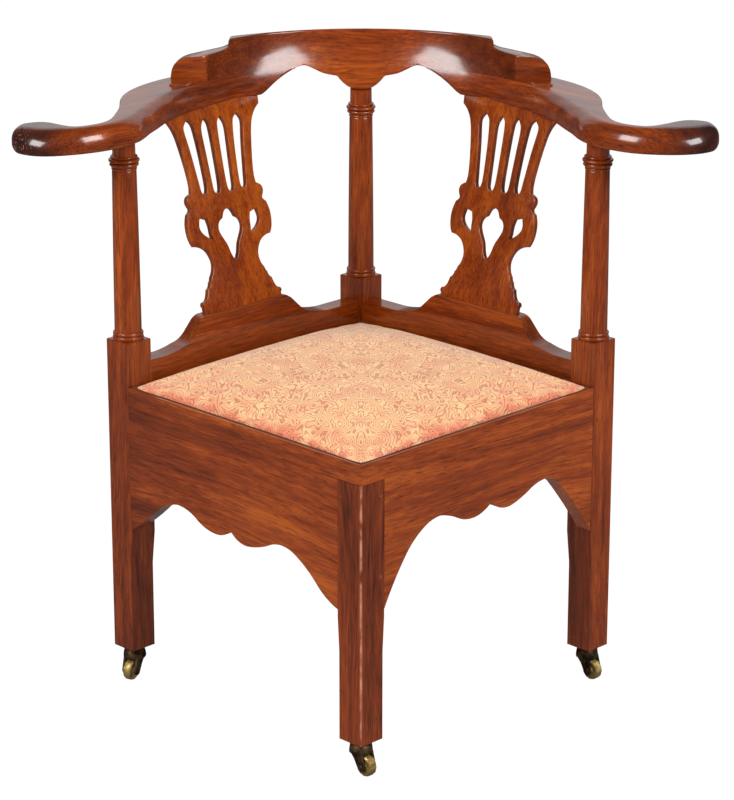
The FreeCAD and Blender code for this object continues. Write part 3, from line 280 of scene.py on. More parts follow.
# Clouds in the painted shade, knocks of wear on a hand, breaks in the painted highlight along an arris
MOTTLE = (34.0, 34.0, 34.0)
KNOCKS = (620.0, 620.0, 130.0)
BREAKS = (60.0, 60.0, 28.0)

WOOD_DARK = linear(58, 17, 4)
WOOD_MIDDLE = linear(126, 50, 8)
WOOD_LIGHT = linear(174, 84, 16)
WOOD_PORE = linear(40, 12, 4)
# Painted shade for the ends of the crest and the hands, on the hands also old polish
WOOD_PAINTED_SHADE = linear(38, 14, 10)
# Bare wood in the hand's knocks, and a painted highlight along the front arris
WOOD_BARE_AND_HIGHLIGHT = linear(206, 140, 112)


def mahogany(name, along, seed, tone, darker=(), scratched=False, arris_highlight=False):
    """Figured, polished wood whose grain runs along a direction.

    along: the grain's direction; seed: where in the log the board was cut;
    tone: lighter (+) or darker (-); darker: (from, full, share, stop), the
    distances from the middle where painted shade (on the hands also old polish)
    starts to go darker, is fully so and stops again; scratched: the far end is
    knocked about; arris_highlight: a pale painted highlight on the middle arris.
    """
    wood = Finish(name, Roughness=0.3, Coat_Weight=0.9, Coat_Roughness=0.15, Specular_IOR_Level=0.1)
    place = wood.node("ShaderNodeTexCoord", {}, {}, "Object")
    x, y, z = along
    level = wood.turned(place, -math.atan2(y, x))
    pitch = math.atan2(z, math.hypot(x, y))
    tip = {"Vector": level, "Rotation": (0.0, pitch, 0.0), "Location": (seed, seed * 0.37, seed * 0.71)}
    board = wood.node("ShaderNodeMapping", {}, tip)

    drift = wood.noise(board, DRIFT, 2.0)
    wander = wood.scaled(wood.noise(board, WANDER, 1.0, 0.5, "Color"), (0.0, 0.06, 0.06))
    bent = wood.shifted(board, wander)
    bands = wood.noise(bent, BANDS, 3.0, 0.6)
    fine = wood.noise(bent, FIBRES, 3.0, 0.6)
    pore_mask = wood.noise(bent, PORES, 2.0, 0.6).steps(0.56, 0.70)
    streaks = wood.noise(bent, STREAKS, 2.0, 0.5).steps(0.57, 0.68)

    figure = (0.40 * drift + 0.48 * bands + 0.42 * fine) + (tone - 0.15)
    colour = wood.ramp(figure, [(0.26, WOOD_DARK), (0.50, WOOD_MIDDLE), (0.74, WOOD_LIGHT)])
    streaked = wood.mix(streaks * 0.45, colour, WOOD_DARK)
    colour = wood.mix(pore_mask * 0.6, streaked, WOOD_PORE)
    if darker or arris_highlight:
        from_middle = wood.parts(place)[0].size()
    # Painted shade: a mottled darker colour between two distances from the middle
    if darker:
        start, full, share, end = darker
        mottle = 0.4 + 1.2 * wood.noise(place, MOTTLE, 3.0, 0.6)
        until = 1 - from_middle.steps(end, end + 0.003)
        painted_shade = from_middle.steps(start, full) * until * mottle * share
        colour = wood.mix(painted_shade, colour, WOOD_PAINTED_SHADE)
    if scratched:
        knocks = wood.noise(place, KNOCKS, 3.0, 0.7)
        where = from_middle.steps(0.398, 0.415)
        colour = wood.mix(where * knocks.steps(0.50, 0.58) * 0.8, colour, WOOD_PORE)
        colour = wood.mix(where * (1 - knocks.steps(0.34, 0.42)) * 0.6, colour, WOOD_BARE_AND_HIGHLIGHT)
    # Painted highlight: a broken pale line along the front arris
    if arris_highlight:
        breaks = wood.noise(place, BREAKS, 3.0, 0.6).steps(0.36, 0.62)
        arris = 1 - from_middle.steps(0.0004, 0.0022)
        colour = wood.mix(arris * breaks * 0.75, colour, WOOD_BARE_AND_HIGHLIGHT)
    wood.feed("Base Color", colour)
    wood.feed("Roughness", 0.26 + 0.16 * fine + 0.12 * pore_mask)
    wood.bump(bands * 0.3 + fine * 0.5 - pore_mask * 0.6, 0.14, 0.0006)
    return wood.material


# %% [markdown]
# ## Finishing a solid
# Planed boards and small castings have their true shape in the frame already, but
# there they are loose triangles with knife edges. They could be drawn again. It is
# less work and safer to merge a copy, which gets its flat faces back: a fine bevel
# then eases the arrises the way a hand plane and two centuries of dusting do, and
# the curved faces are shaded smooth.

# %% Finished copies
CREASE = math.radians(30)
FLAT = math.radians(0.6)
SAME_POINT = 2e-6


def dress(node, material):
    """Give a CAD node itself the material."""
    slots = nodes[node].data.materials
    slots.clear()
    slots.append(material)


def worked_over(mesh, merge=0.0, flatten=False, outwards=True):
    """Merge doubles, join flat faces, turn all faces outwards, and shade smooth."""
    work = bmesh.new()
    work.from_mesh(mesh)
    if merge > 0:
        bmesh.ops.remove_doubles(work, verts=work.verts, dist=merge)
    if flatten:
        bmesh.ops.dissolve_limit(work, angle_limit=FLAT, verts=work.verts, edges=work.edges)
    if outwards:
        bmesh.ops.recalc_face_normals(work, faces=work.faces)
    for face in work.faces:
        face.smooth = True
    work.to_mesh(mesh)
    work.free()
    return mesh


def finished_copy(node, material, ease=0.0007):
    """A merged, eased and smooth-shaded copy that stands for a CAD node."""
    mesh = worked_over(nodes[node].data.copy(), SAME_POINT, flatten=True, outwards=False)
    mesh.name = node + "_finished"
    mesh.materials.clear()
    mesh.materials.append(material)
    mesh.set_sharp_from_angle(angle=CREASE)
    piece = put(node + "_finished", mesh)
    bevel = piece.modifiers.new("eased arris", "BEVEL")
    bevel.width = ease
    bevel.segments = 2
    bevel.limit_method = "ANGLE"
    bevel.angle_limit = CREASE
    weighted = piece.modifiers.new("weighted normals", "WEIGHTED_NORMAL")
    weighted.keep_sharp = True
    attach(piece, nodes[node]["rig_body"])
    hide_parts(node)
    dress(node, material)
    return piece


# %% [markdown]
# ## Which way the grain runs
# Every board is cut along its grain: upright in legs, posts and splats, level
# along rails and aprons, across the chair in the crest, and along the bow in each
# arm. One finish for all would give the chair away as one block, so each board
# gets its own direction, its own place in the log and its own tone. A lip is sawn
# from its apron and shares its place. Painted shade darkens the crest towards its
# ends and the hands, where it also stands for old polish; the left hand is
# scratched, and a pale painted highlight runs along the front arris.

# %% Boards of mahogany
UPRIGHT = (0.0, 0.0, 1.0)
ACROSS = (1.0, 0.0, 0.0)
boards = {
    "front_leg": (UPRIGHT, 3.1, -0.06),
    "left_post": (UPRIGHT, 5.3, -0.045),
    "right_post": (UPRIGHT, 8.9, -0.02),
    "back_post": (UPRIGHT, 12.7, 0.07),
    "front_left_apron": (ALONG_RIGHT, 17.1, 0.0),
    "front_right_apron": (ALONG_LEFT, 22.9, 0.05),
    "front_left_lip": (ALONG_RIGHT, 17.1, 0.0),
    "front_right_lip": (ALONG_LEFT, 22.9, 0.05),
    "back_left_rail": (ALONG_LEFT, 37.7, -0.02),
    "back_right_rail": (ALONG_RIGHT, 41.3, -0.02),
    "left_shoe": (ALONG_LEFT, 47.9, -0.03),
    "right_shoe": (ALONG_RIGHT, 53.1, 0.02),
    "left_splat": (UPRIGHT, 59.3, 0.08),
    "right_splat": (UPRIGHT, 61.7, 0.03),
    "left_arm": (ALONG_LEFT, 67.9, -0.06),
    "right_arm": (ALONG_RIGHT, 71.3, -0.06),
    "crest_rail": (ACROSS, 77.7, 0.0),
}
shaped = ("left_arm", "right_arm", "crest_rail", "left_splat", "right_splat", "left_post", "right_post",
          "back_post")
boards_material = {}
# Painted shade towards the ends of the crest and the hands; on the hands it also stands for old polish
polish_and_painted_shade = {
    "left_arm": (0.335, 0.41, 0.95, 0.9),
    "right_arm": (0.335, 0.425, 0.9, 0.9),
    "crest_rail": (0.06, 0.17, 0.5, 0.2),
}
for node, (along, seed, tone) in boards.items():
    boards_material[node] = mahogany("mahogany_" + node, along, seed, tone, polish_and_painted_shade.get(node, ()),
                                     scratched=node == "left_arm", arris_highlight=node == "front_leg")
    if node not in shaped:
        finished_copy(node, boards_material[node])
print("boards finished", len(boards) - len(shaped))

# %% [markdown]
# ## Smooth curves through marked points
# The joiner's templates are a few marked points joined by a springy batten. Short
# straight runs would show as facets in the polish. A natural cubic spline is that
# batten: between two marks with bends m0 and m1 it runs at
# s p0 + t p1 + ((s^3 - s) m0 + (t^3 - t) m1) / 6, where t is the share of the way
# and s = 1 - t. The bends come from one small set of linear equations.

# %% The batten, and grids of points
def batten(marks, places):
    """A natural cubic through numbered marks, read at fractional places."""
    marks = np.asarray(marks, float)
    places = np.asarray(places, float)
    count = len(marks)
    system = np.eye(count)
    right = np.zeros_like(marks)
    for row in range(1, count - 1):
        system[row, row - 1:row + 2] = (1, 4, 1)
        right[row] = 6 * (marks[row + 1] - 2 * marks[row] + marks[row - 1])
    bends = np.linalg.solve(system, right)
    low = np.clip(places.astype(int), 0, count - 2)
    t = (places - low)[:, None]
    s = 1 - t
    straight = s * marks[low] + t * marks[low + 1]
    return straight + ((s ** 3 - s) * bends[low] + (t ** 3 - t) * bends[low + 1]) / 6


def profile_of(marks, count=160):
    """A template as a table: two columns, the first of them rising."""
    drawn = batten(marks, np.linspace(0, len(marks) - 1, count))
    return drawn[np.argsort(drawn[:, 0])]


def read_off(table, where):
    """The table's second column at given places along its first."""
    return np.interp(where, table[:, 0], table[:, 1])


def quarter(count):
    """Cosine and sine over a quarter turn, for the roundings."""
    turn = np.linspace(0, math.pi / 2, count)
    return np.cos(turn), np.sin(turn)


def smooth_step(value, low, high):
    """0 below low, 1 above high, and 3 t^2 - 2 t^3 between them."""
    t = np.clip((value - low) / (high - low), 0, 1)
    return t * t * (3 - 2 * t)


def mesh_from(name, points, faces):
    """A smooth-shaded mesh whose normals all face outwards."""
    mesh = bpy.data.meshes.new(name)
    mesh.from_pydata(points.tolist(), [], faces)
    return worked_over(mesh)


def vertex_array(mesh):
    """The places of a mesh's points, one row each."""
    flat = np.empty(len(mesh.vertices) * 3)
    mesh.vertices.foreach_get("co", flat)
    return flat.reshape(-1, 3)


def tube(name, rings):
    """A closed mesh from rings of points, the first axis along and the second round."""
    along, around = rings.shape[:2]
    index = np.arange(along * around).reshape(along, around)
    after = np.roll(index, -1, axis=1)
    sides = np.stack([index[:-1], after[:-1], after[1:], index[1:]], -1).reshape(-1, 4)
    faces = sides.tolist() + [index[0].tolist(), index[-1, ::-1].tolist()]
    return mesh_from(name, rings.reshape(-1, 3), faces)


# %% [markdown]
# ## The bow of the arms
# Each arm is one sawn board that flares into a rounded hand. A subdivided box
# would lose the sawyer's two true edges, so the board is drawn as it was made.
# Its edges are battens through marks that count outwards from the bow's own two
# radii, and then from the post. A section stands across the board between them:
# a moulded edge inside, a small rounding outside, and at the hand both grow to
# the same full rounding. Under the crest the arch is sawn into the board, so the
# section's lower side rises to max(underside, arch) and the rest fits above it.

# %% The arms' templates
POST_INSET = 0.044
BOW_WIDTH = 0.062
bow_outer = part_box("crest_rail")[1].y - seat_centre[1]
bow_inner = bow_outer - BOW_WIDTH
post_reach = bow_outer - POST_INSET
post_axis = np.array([-post_reach, 0.0])
arm_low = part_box("left_arm")[0].z
arm_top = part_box("left_arm")[1].z

# (distance outside the bow's radius, degrees from the back) for both edges
ARM_BOW = (((11.7, 17.5), (0.0, 14.87)), ((10.4, 25.0), (0.0, 24.0)), ((6.5, 34.0), (0.0, 34.0)),
           ((-2.0, 44.0), (0.5, 46.0)), ((-6.5, 54.0), (-0.5, 56.0)), ((-11.0, 63.0), (-6.0, 64.5)),
           ((-14.8, 71.0), (-16.0, 71.5)), ((-15.2, 78.0), (-27.0, 77.5)),
           ((-12.0, 84.0), (-31.5, 83.5)))
# (x, y) from the left post for both edges
ARM_HAND = (((24.5, -3.0), (-13.8, 9.0)), ((11.0, -31.0), (-20.0, -9.0)),
            ((-9.0, -54.5), (-30.5, -23.0)), ((-34.0, -72.0), (-45.0, -33.5)),
            ((-60.0, -81.0), (-61.0, -36.3)), ((-84.0, -84.0), (-83.0, -20.5)),
            ((-106.0, -81.5), (-102.0, -7.4)), ((-124.0, -72.5), (-123.0, -12.0)),
            ((-136.0, -59.5), (-137.0, -27.0)), ((-140.3, -50.5), (-140.3, -39.5)))
# Distance from the middle and height of the sawn arch above the arms' underside
ARCH = profile_of([(32.0, 18.5), (47.0, 21.5), (57.0, 25.5), (68.0, 31.0), (76.0, 33.5), (84.0, 32.5),
                   (93.0, 28.5), (106.0, 20.0), (119.0, 10.0), (130.0, 1.0), (138.0, 0.0)])
PENDANT = profile_of([(7.0, 0.0), (12.0, 1.5), (19.0, 5.5), (26.0, 11.5), (32.0, 18.5)])
ARCH_TABLE = np.concatenate([[(0.0, 0.0)], PENDANT, ARCH[1:], [(500.0, 0.0)]]) / 1000

# The moulded edge: how far down it goes, its curve, and by degrees from the back
# its reach into the board and the crest's face outside the bow's inner radius
EDGE_DROP = 0.0265
EDGE_POWER = 1.6
EDGE_REACH = profile_of([(0.0, 5.7), (12.0, 5.7), (24.0, 5.8), (34.0, 6.8), (44.0, 9.5), (53.0, 13.4),
                         (62.0, 16.6), (72.0, 17.9), (82.0, 18.0), (92.0, 18.0)])
FACE_FOOT = profile_of([(0.0, 17.7), (9.0, 17.7), (18.0, 17.4), (26.0, 16.0), (34.0, 13.4), (42.0, 10.6),
                        (50.0, 8.6), (60.0, 7.6)])
# The hand: its tip from the post, and the rounding over and under the tip: radius, depth
TIP_REACH = 0.1405
NOSE, NOSE_DEPTH = 0.0150, 0.0125
CHIN, CHIN_DEPTH = 0.0090, 0.0075
print("bow from", round(bow_inner, 4), "to", round(bow_outer, 4), "arms up to", round(arm_top, 4))

# %% [markdown]
# ## The arms' sections
# The real arm was rasped and scraped along its length, so its section changes
# without a step. Each ring of points here is one section, and everything that
# changes along the arm, such as the roundings, is a smooth function of the place.
# The hands of the real chair aren't quite a pair, so the pattern is bent twice.

# %% Arms
def on_bow(radius, degrees):
    """A point of a circle about the seat's centre, by degrees left from the back."""
    turn = np.radians(degrees)
    return np.array([-radius * np.sin(turn), radius * np.cos(turn)])


def arm_edges(places):
    """The left board's inner and outer edge: battens through their marks."""
    edges = []
    for side, base in ((0, bow_inner), (1, bow_outer)):
        marks = [on_bow(base + row[side][0] / 1000, row[side][1]) for row in ARM_BOW]
        marks += [post_axis + np.array(row[side]) / 1000 for row in ARM_HAND]
        edges.append(batten(marks, places))
    return edges


def rounded_end(past, radius):
    """How far a surface has fallen on a quarter circle at a distance before its end."""
    return radius - np.sqrt(radius ** 2 - (radius - np.minimum(past, radius)) ** 2)


def arm_rings():
    """Rings of points across the left arm, from under the crest to the hand's tip.

    A point stands at the inner edge plus its offset across the board. From the
    inner foot the offsets and heights follow a small quarter circle, then the
    moulded edge (offset = reach (share of the height)^power, which turns into a
    quarter ellipse away from the crest), the flat top, and the same outside.
    """
    last = len(ARM_BOW) + len(ARM_HAND) - 1
    near_tip = last - 3 * (1 - np.sin(np.linspace(0, math.pi / 2, 26))) ** 1.2
    places = np.concatenate([np.linspace(0, last - 3, 110)[:-1], near_tip])
    inner, outer = arm_edges(places)
    across = outer - inner
    width = np.linalg.norm(across, axis=1)
    across = across / width[:, None]
    hand = smooth_step(places, 8, 12)
    tip = post_axis[0] - TIP_REACH
    past = np.clip((inner[:, 0] + outer[:, 0]) / 2 - tip, 0, 1)
    top = arm_top - np.minimum(rounded_end(past, NOSE), NOSE_DEPTH)
    low = arm_low + np.minimum(rounded_end(past, CHIN), CHIN_DEPTH)
    low_inner, low_outer = [np.maximum(low, arm_low + read_off(ARCH_TABLE, -edge[:, 0]))
                            for edge in (inner, outer)]
    room = 0.47 * width
    angle = np.degrees(np.arctan2(-inner[:, 0], inner[:, 1]))
    inner_round = np.minimum(read_off(EDGE_REACH, angle) / 1000 + 0.009 * hand, room)
    inner_drop = np.clip(top - low_inner - 0.003, 0.0002, EDGE_DROP)
    outer_round = np.minimum(0.0035 + 0.0145 * hand, room)
    outer_drop = np.clip(top - low_outer - 0.004, 0.0001, 0.0035 + 0.0165 * hand)
    ease = np.minimum(0.0035 + 0.0020 * hand, 0.4 * width)
    inner_ease, outer_ease = [np.minimum(ease, 0.3 * (top - edge) + 0.00005)
                              for edge in (low_inner, low_outer)]
    free = smooth_step(places, 2, 4)
    climbed = 1 - inner_drop / EDGE_DROP
    foot = (1 - free) * inner_round * climbed ** EDGE_POWER
    cosine, sine = quarter(13)
    columns = []
    for c, s in zip(cosine[::2], sine[::2]):
        columns.append((foot + inner_ease * (1 - s), low_inner + inner_ease * (1 - c)))
    for c, s, share in zip(cosine, sine, np.linspace(0, 1, 13)):
        rounded = (inner_round * (1 - c), top - inner_drop * (1 - s))
        height_share = climbed + (1 - climbed) * share
        moulded = (inner_round * height_share ** EDGE_POWER, top - inner_drop * (1 - share))
        columns.append(tuple(moulded[k] + free * (rounded[k] - moulded[k]) for k in (0, 1)))
    for share in np.linspace(0, 1, 7)[1:-1]:
        columns.append((inner_round + (width - inner_round - outer_round) * share, top))
    for c, s in zip(cosine, sine):
        columns.append((width - outer_round * (1 - s), top - outer_drop * (1 - c)))
    for c, s in zip(cosine[::2], sine[::2]):
        columns.append((width - outer_ease * (1 - c), low_outer + outer_ease * (1 - s)))
    rings = []
    for offset, level in columns:
        rings.append(np.column_stack([inner + across * offset[:, None], level]))
    rings = np.stack(rings, axis=1)
    rings[:, :, :2] += seat_centre[:2]
    return rings


def hand_moved(rings, outwards, upwards):
    """The hand bent a little from the pattern, as two sawn by eye are."""
    share = smooth_step(np.abs(rings[:, :, 0]), 0.325, 0.425)
    moved = rings.copy()
    moved[:, :, 0] += np.sign(rings[:, :, 0]) * share * outwards
    moved[:, :, 2] += share * upwards
    return moved


pattern_rings = arm_rings()
left_rings = hand_moved(pattern_rings, -0.0062, -0.0020)
right_rings = hand_moved(pattern_rings * np.array([-1.0, 1.0, 1.0]), 0.0048, 0.0006)
print("sections in each arm", len(pattern_rings))

# %% [markdown]
# ## The crest
# The crest is sawn from front to back to one outline and moulded along the bow
# to another, with a hollow face that fades towards the ends. A swept profile
# would not meet the sawn outline, so both cuts are worked out point by point: in
# a plane of constant x, a point of the moulding at radius r lies at
# y = sqrt(r^2 - x^2), and the saw keeps the heights between two templates of x.
# The plain ends are cut flat across, y = max(y, end), down to a thin ledge.

# %% The crest's templates
CREST_RISE = 0.0475
END_FACE = bow_inner - 0.072
FACE_RADIUS = 0.293
LEDGE_RISE = 0.0024
PENDANT_REACH = 0.076
# Roundings of the top's front and back edge and of the pendant's foot, and the top's fall
FRONT_EASE = 0.0026
BACK_EASE = 0.0046
FOOT_EASE = 0.0016
TOP_FALL = 0.0035
# How far the back leans in, and from where over the arms and over what height
BACK_LEAN = 0.007
LEAN_START = 0.010
LEAN_HEIGHT = 0.0325
# Distance from the middle and front of the thin ledge left below the cut end
LEDGE = np.array([(0.0, 0.2070), (0.197, 0.2070), (0.222, 0.1840), (0.246, 0.1736), (0.2497, 0.1760)])
# Distance from the middle and height over the arms of the crest's upper outline
CREST_OUTLINE = np.array([(0.0, 47.5), (170.4, 47.5), (172.6, 47.1), (174.2, 46.0), (174.8, 44.2),
                          (174.5, 42.4), (174.6, 38.9), (176.0, 37.4), (178.6, 35.9), (182.6, 34.6),
                          (188.0, 33.7), (208.0, 32.2), (228.0, 30.9), (234.5, 29.2), (240.5, 26.0),
                          (245.0, 21.0), (247.8, 15.0), (249.2, 8.0), (249.7, 0.4)]) / 1000
# Height over the arms' top and how far the hollow has gone back there
HOLLOW = profile_of([(0.0, 0.0), (4.0, 2.0), (8.0, 4.0), (12.0, 5.9), (16.0, 7.7), (20.0, 9.2),
                     (27.0, 11.4), (35.0, 13.4), (43.0, 14.9), (49.0, 15.7)])
print("crest up to", round(arm_top + CREST_RISE, 4))

# %% [markdown]
# ## The crest's sections
# The joiner hollowed the face with a moulding plane and then eased every edge.
# A bevel would pinch where the outline is steep, so each section carries its own
# roundings, which shrink where the section is low. Seen in one section, the points
# go up the face, over the top and down the back.

# %% Crest
def face_of(level, distance):
    """The face's radius: the arms' edge below, and above it a hollow that fades to the ends."""
    angle = np.degrees(np.arcsin(np.minimum(np.abs(distance) / FACE_RADIUS, 1)))
    foot = read_off(FACE_FOOT, angle) / 1000
    climbed = np.clip((level - arm_top + EDGE_DROP) / EDGE_DROP, 0, 1)
    below = foot - read_off(EDGE_REACH, angle) / 1000 * (1 - climbed ** EDGE_POWER)
    depth = 1 - 0.8 * smooth_step(angle, 20, 46)
    above = foot + depth * read_off(HOLLOW / 1000, level - arm_top)
    return bow_inner + np.where(level < arm_top, below, above)


def crest_sections():
    """The sections' distances from the middle, with the sawn heights at each."""
    middle = np.linspace(0, 0.17, 110)[:-1]
    marks = np.linspace(0, len(CREST_OUTLINE) - 1, 4 * len(CREST_OUTLINE) - 3)
    ends = np.column_stack([np.interp(marks, range(len(CREST_OUTLINE)), CREST_OUTLINE[:, axis])
                            for axis in (0, 1)])
    ends = ends[ends[:, 0] > 0.1702]
    distance = np.concatenate([middle, ends[:, 0]])
    rise = np.concatenate([np.full(len(middle), CREST_RISE), ends[:, 1]])
    distance = np.concatenate([-distance[:0:-1], distance])
    rise = np.concatenate([rise[:0:-1], rise])
    arch = np.interp(np.abs(distance), ARCH_TABLE[:, 0], ARCH_TABLE[:, 1])
    lap = np.where(np.abs(distance) < PENDANT_REACH, arm_low, arm_top)
    low = np.maximum(lap, arm_low + arch)
    high = arm_top + rise
    return distance, low, high


def crest_rings():
    """Rings of points round the crest: up the face, over the top and down the back.

    Each point has a radius and a height, and lies at the depth
    max(sqrt(radius^2 - distance^2), front of the cut end or of its ledge).
    """
    distance, low, high = crest_sections()

    def back(level):
        """The back's radius: upright below, then leaning in evenly."""
        return bow_outer - BACK_LEAN * np.clip((level - arm_top - LEAN_START) / LEAN_HEIGHT, 0, 1)

    tall = high - low
    front_ease = np.minimum(FRONT_EASE, 0.4 * tall)
    back_ease = np.minimum(BACK_EASE, 0.4 * tall)
    foot_ease = np.interp(np.abs(distance), (0.075, 0.090), (FOOT_EASE, 0.0))
    cosine, sine = quarter(5)
    ledge = read_off(LEDGE, np.abs(distance))
    cut = np.full(len(distance), END_FACE)
    columns = []
    for c, s in zip(cosine, sine):
        radius = face_of(low + foot_ease, distance) + foot_ease * (1 - s)
        columns.append((radius, low + foot_ease * (1 - c), ledge))
    for share, front in ((0.6, ledge), (0.9, ledge + 0.0008), (1.0, cut)):
        level = low + foot_ease + np.minimum(LEDGE_RISE * share, 0.3 * tall)
        columns.append((face_of(level, distance), level, front))
    step = np.minimum(LEDGE_RISE, 0.3 * tall)
    for share in np.linspace(0, 1, 26)[1:]:
        level = low + foot_ease + step + (tall - step - foot_ease - front_ease) * share
        columns.append((face_of(level, distance), level, cut))
    for c, s in zip(cosine[1:], sine[1:]):
        radius = face_of(high - front_ease, distance) + front_ease * (1 - c)
        columns.append((radius, high - front_ease * (1 - s), cut))
    slope = np.minimum(TOP_FALL, 0.2 * tall)
    for c, s in zip(cosine, sine):
        radius = back(high - back_ease) - back_ease * (1 - s)
        columns.append((radius, high - slope - back_ease * (1 - c), cut))
    for share in np.linspace(0, 1, 9)[1:]:
        level = high - slope - back_ease - (tall - slope - back_ease) * share
        columns.append((back(level), level, cut))
    rings = []
    for radius, level, front in columns:
        depth = np.sqrt(np.maximum(radius ** 2 - distance ** 2, 0.0))
        rings.append(np.column_stack([distance, np.maximum(depth, front), level]))
    rings = np.stack(rings, axis=1)
    rings[:, :, 1] += seat_centre[1]
    return rings


def shaped_piece(name, mesh, material, crease, node=None):
    """A mesh put on the chair; where it stands for a node, the node is dressed too."""
    mesh.materials.clear()
    mesh.materials.append(material)
    mesh.set_sharp_from_angle(angle=math.radians(crease))
    piece = put(name, mesh)
    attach(piece, "chair")
    if node is None:
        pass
    else:
        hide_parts(node)
        dress(node, material)


for node, rings in (("left_arm", left_rings), ("right_arm", right_rings), ("crest_rail", crest_rings())):
    name = node + "_shaped"
    shaped_piece(name, tube(name, rings), boards_material[node], 38, node)
print("arms and crest shaped")

# %% [markdown]
# ## Turned columns
# Above the seat each post is turned on the lathe, and the solids keep that round
# part flat-sided. A turning is one profile, radius against height, spun about the
# post, so it is made just so here. Its rings are half ellipses standing on the
# profile: r = r0 + b sqrt(1 - w^2), with w running from -1 to 1 across the ring.
# The square foot is the finished solid without its old column.

# %% Columns
# The top of the square foot, and the three posts' axes
block_top = 0.4685
centre_of = {
    "left_post": (-post_reach, seat_centre[1]),
    "right_post": (post_reach, seat_centre[1]),
    "back_post": (0.0, seat_centre[1] + post_reach),
}


def ring(low_height, high_height, base, bulge, count=13):
    """Rows of (height, radius) over one ring of a turning."""
    w = np.linspace(-1, 1, count)
    height = (low_height + high_height) / 2 + w * (high_height - low_height) / 2
    return [(h, base + bulge * math.sqrt(max(0.0, 1 - k * k))) for h, k in zip(height, w)]


def column_rows(foot, head):
    """The column's profile in millimetres between the block and the arm."""
    rows = [(foot - 1.0, 19.3), (foot, 19.3)] + ring(foot + 0.2, foot + 5.2, 18.6, 1.4)
    rows += [(foot + 5.6, 17.9)] + ring(foot + 6.0, foot + 10.4, 17.8, 1.8) + [(foot + 10.8, 17.3)]
    taper = np.linspace(0, 1, 12)
    rows += [(foot + 11.4 + (head - 37.5 - foot - 11.4) * t, 17.4 - 1.9 * t + 0.25 * math.sin(math.pi * t))
             for t in taper]
    rows += [(head - 37.0, 15.2)] + ring(head - 36.6, head - 33.6, 15.4, 0.8) + [(head - 33.2, 15.2)]
    rows += [(head - 32.6, 15.9)] + ring(head - 32.2, head - 27.4, 16.0, 2.6) + [(head - 27.0, 16.6)]
    rows += ring(head - 26.6, head - 22.2, 17.4, 2.3) + [(head - 21.8, 16.6)]
    rows += ring(head - 21.4, head - 18.6, 15.2, 2.1) + [(head - 18.2, 14.6), (head, 14.4)]
    return rows


def turned_rings(centre, rows):
    """Each row of the profile as a circle of points: centre + radius (cos, sin)."""
    turn = np.linspace(0, 2 * math.pi, 65)[:-1]
    x = centre[0] + rows[:, 1:2] * np.cos(turn)
    y = centre[1] + rows[:, 1:2] * np.sin(turn)
    z = np.repeat(rows[:, 0:1], len(turn), axis=1)
    return np.stack([x, y, z], axis=-1)


profile = np.array(column_rows(block_top * 1000, arm_low * 1000)) / 1000
for node, centre in centre_of.items():
    block = finished_copy(node, boards_material[node])
    cut = bmesh.new()
    cut.from_mesh(block.data)
    bmesh.ops.delete(cut, geom=[v for v in cut.verts if v.co.z > block_top + 0.0009], context="VERTS")
    cut.to_mesh(block.data)
    cut.free()
    name = node + "_column"
    shaped_piece(name, tube(name, turned_rings(centre, profile)), boards_material[node], 50)
print("columns turned, rows in the profile", len(profile))

# %% [markdown]
# ## The pierced splats
# The splat fills each side of the back with four pointed slots, an urn and two
# small piercings. Holes cut into a grid would have ragged edges. A splat is a flat
# board, so it is drawn as a flat curve with holes in it and given its thickness by
# extrusion. Every run between two corners is a batten through its marks:
# (half width in mm, share of the visible height).

# %% The splat's outline, its piercings and its place
SPLAT_EDGE = (
    ((68.0, -0.030), (68.0, 0.026)),
    ((68.0, 0.026), (69.9, 0.038), (68.2, 0.052)),
    ((68.2, 0.052), (63.2, 0.058), (59.2, 0.078), (56.4, 0.110)),
    ((56.4, 0.110), (53.9, 0.116), (51.4, 0.128), (50.2, 0.144)),
    ((50.2, 0.144), (48.4, 0.149), (46.4, 0.168)),
    ((46.4, 0.168), (42.4, 0.190), (40.2, 0.218), (40.4, 0.246), (43.4, 0.276), (49.2, 0.304),
     (58.3, 0.322), (67.0, 0.328)),
    ((67.0, 0.328), (70.6, 0.353), (73.1, 0.396), (72.6, 0.446), (68.8, 0.489)),
    ((68.8, 0.489), (65.6, 0.498), (63.6, 0.513), (66.8, 0.540), (64.8, 0.571), (57.0, 0.588)),
    ((57.0, 0.588), (55.6, 0.630), (57.6, 0.710), (61.5, 0.800), (66.0, 0.876), (71.0, 0.920),
     (77.0, 0.950), (85.0, 0.975)),
    ((85.0, 0.975), (86.0, 1.025)),
)
SPLAT_HOLES = (
    (((12.5, 0.564), (17.0, 0.580), (18.4, 0.620), (19.4, 0.700), (20.8, 0.800), (21.6, 0.880),
      (19.0, 0.917), (13.8, 0.946)),
     ((13.8, 0.946), (8.8, 0.922), (6.6, 0.885), (5.8, 0.790), (5.6, 0.680), (6.1, 0.610),
      (8.0, 0.576), (12.5, 0.564))),
    (((34.7, 0.569), (39.0, 0.585), (40.8, 0.625), (43.4, 0.700), (47.0, 0.800), (51.0, 0.885),
      (49.8, 0.920), (43.6, 0.946)),
     ((43.6, 0.946), (36.8, 0.924), (33.6, 0.885), (31.2, 0.800), (29.6, 0.700), (29.0, 0.620),
      (30.5, 0.583), (34.7, 0.569))),
    (((49.8, 0.463), (52.6, 0.432), (51.8, 0.400), (44.2, 0.369), (33.6, 0.346)),
     ((33.6, 0.346), (34.8, 0.378), (35.2, 0.412), (37.6, 0.448)),
     ((37.6, 0.448), (43.0, 0.455), (49.8, 0.463))),
)
SPLAT_URN = (((0.0, 0.486), (5.6, 0.480), (9.4, 0.460), (11.4, 0.442)),
             ((11.4, 0.442), (17.6, 0.428), (20.6, 0.404), (20.0, 0.378), (15.8, 0.346), (10.1, 0.308),
              (7.2, 0.272), (3.2, 0.240), (0.0, 0.231)))
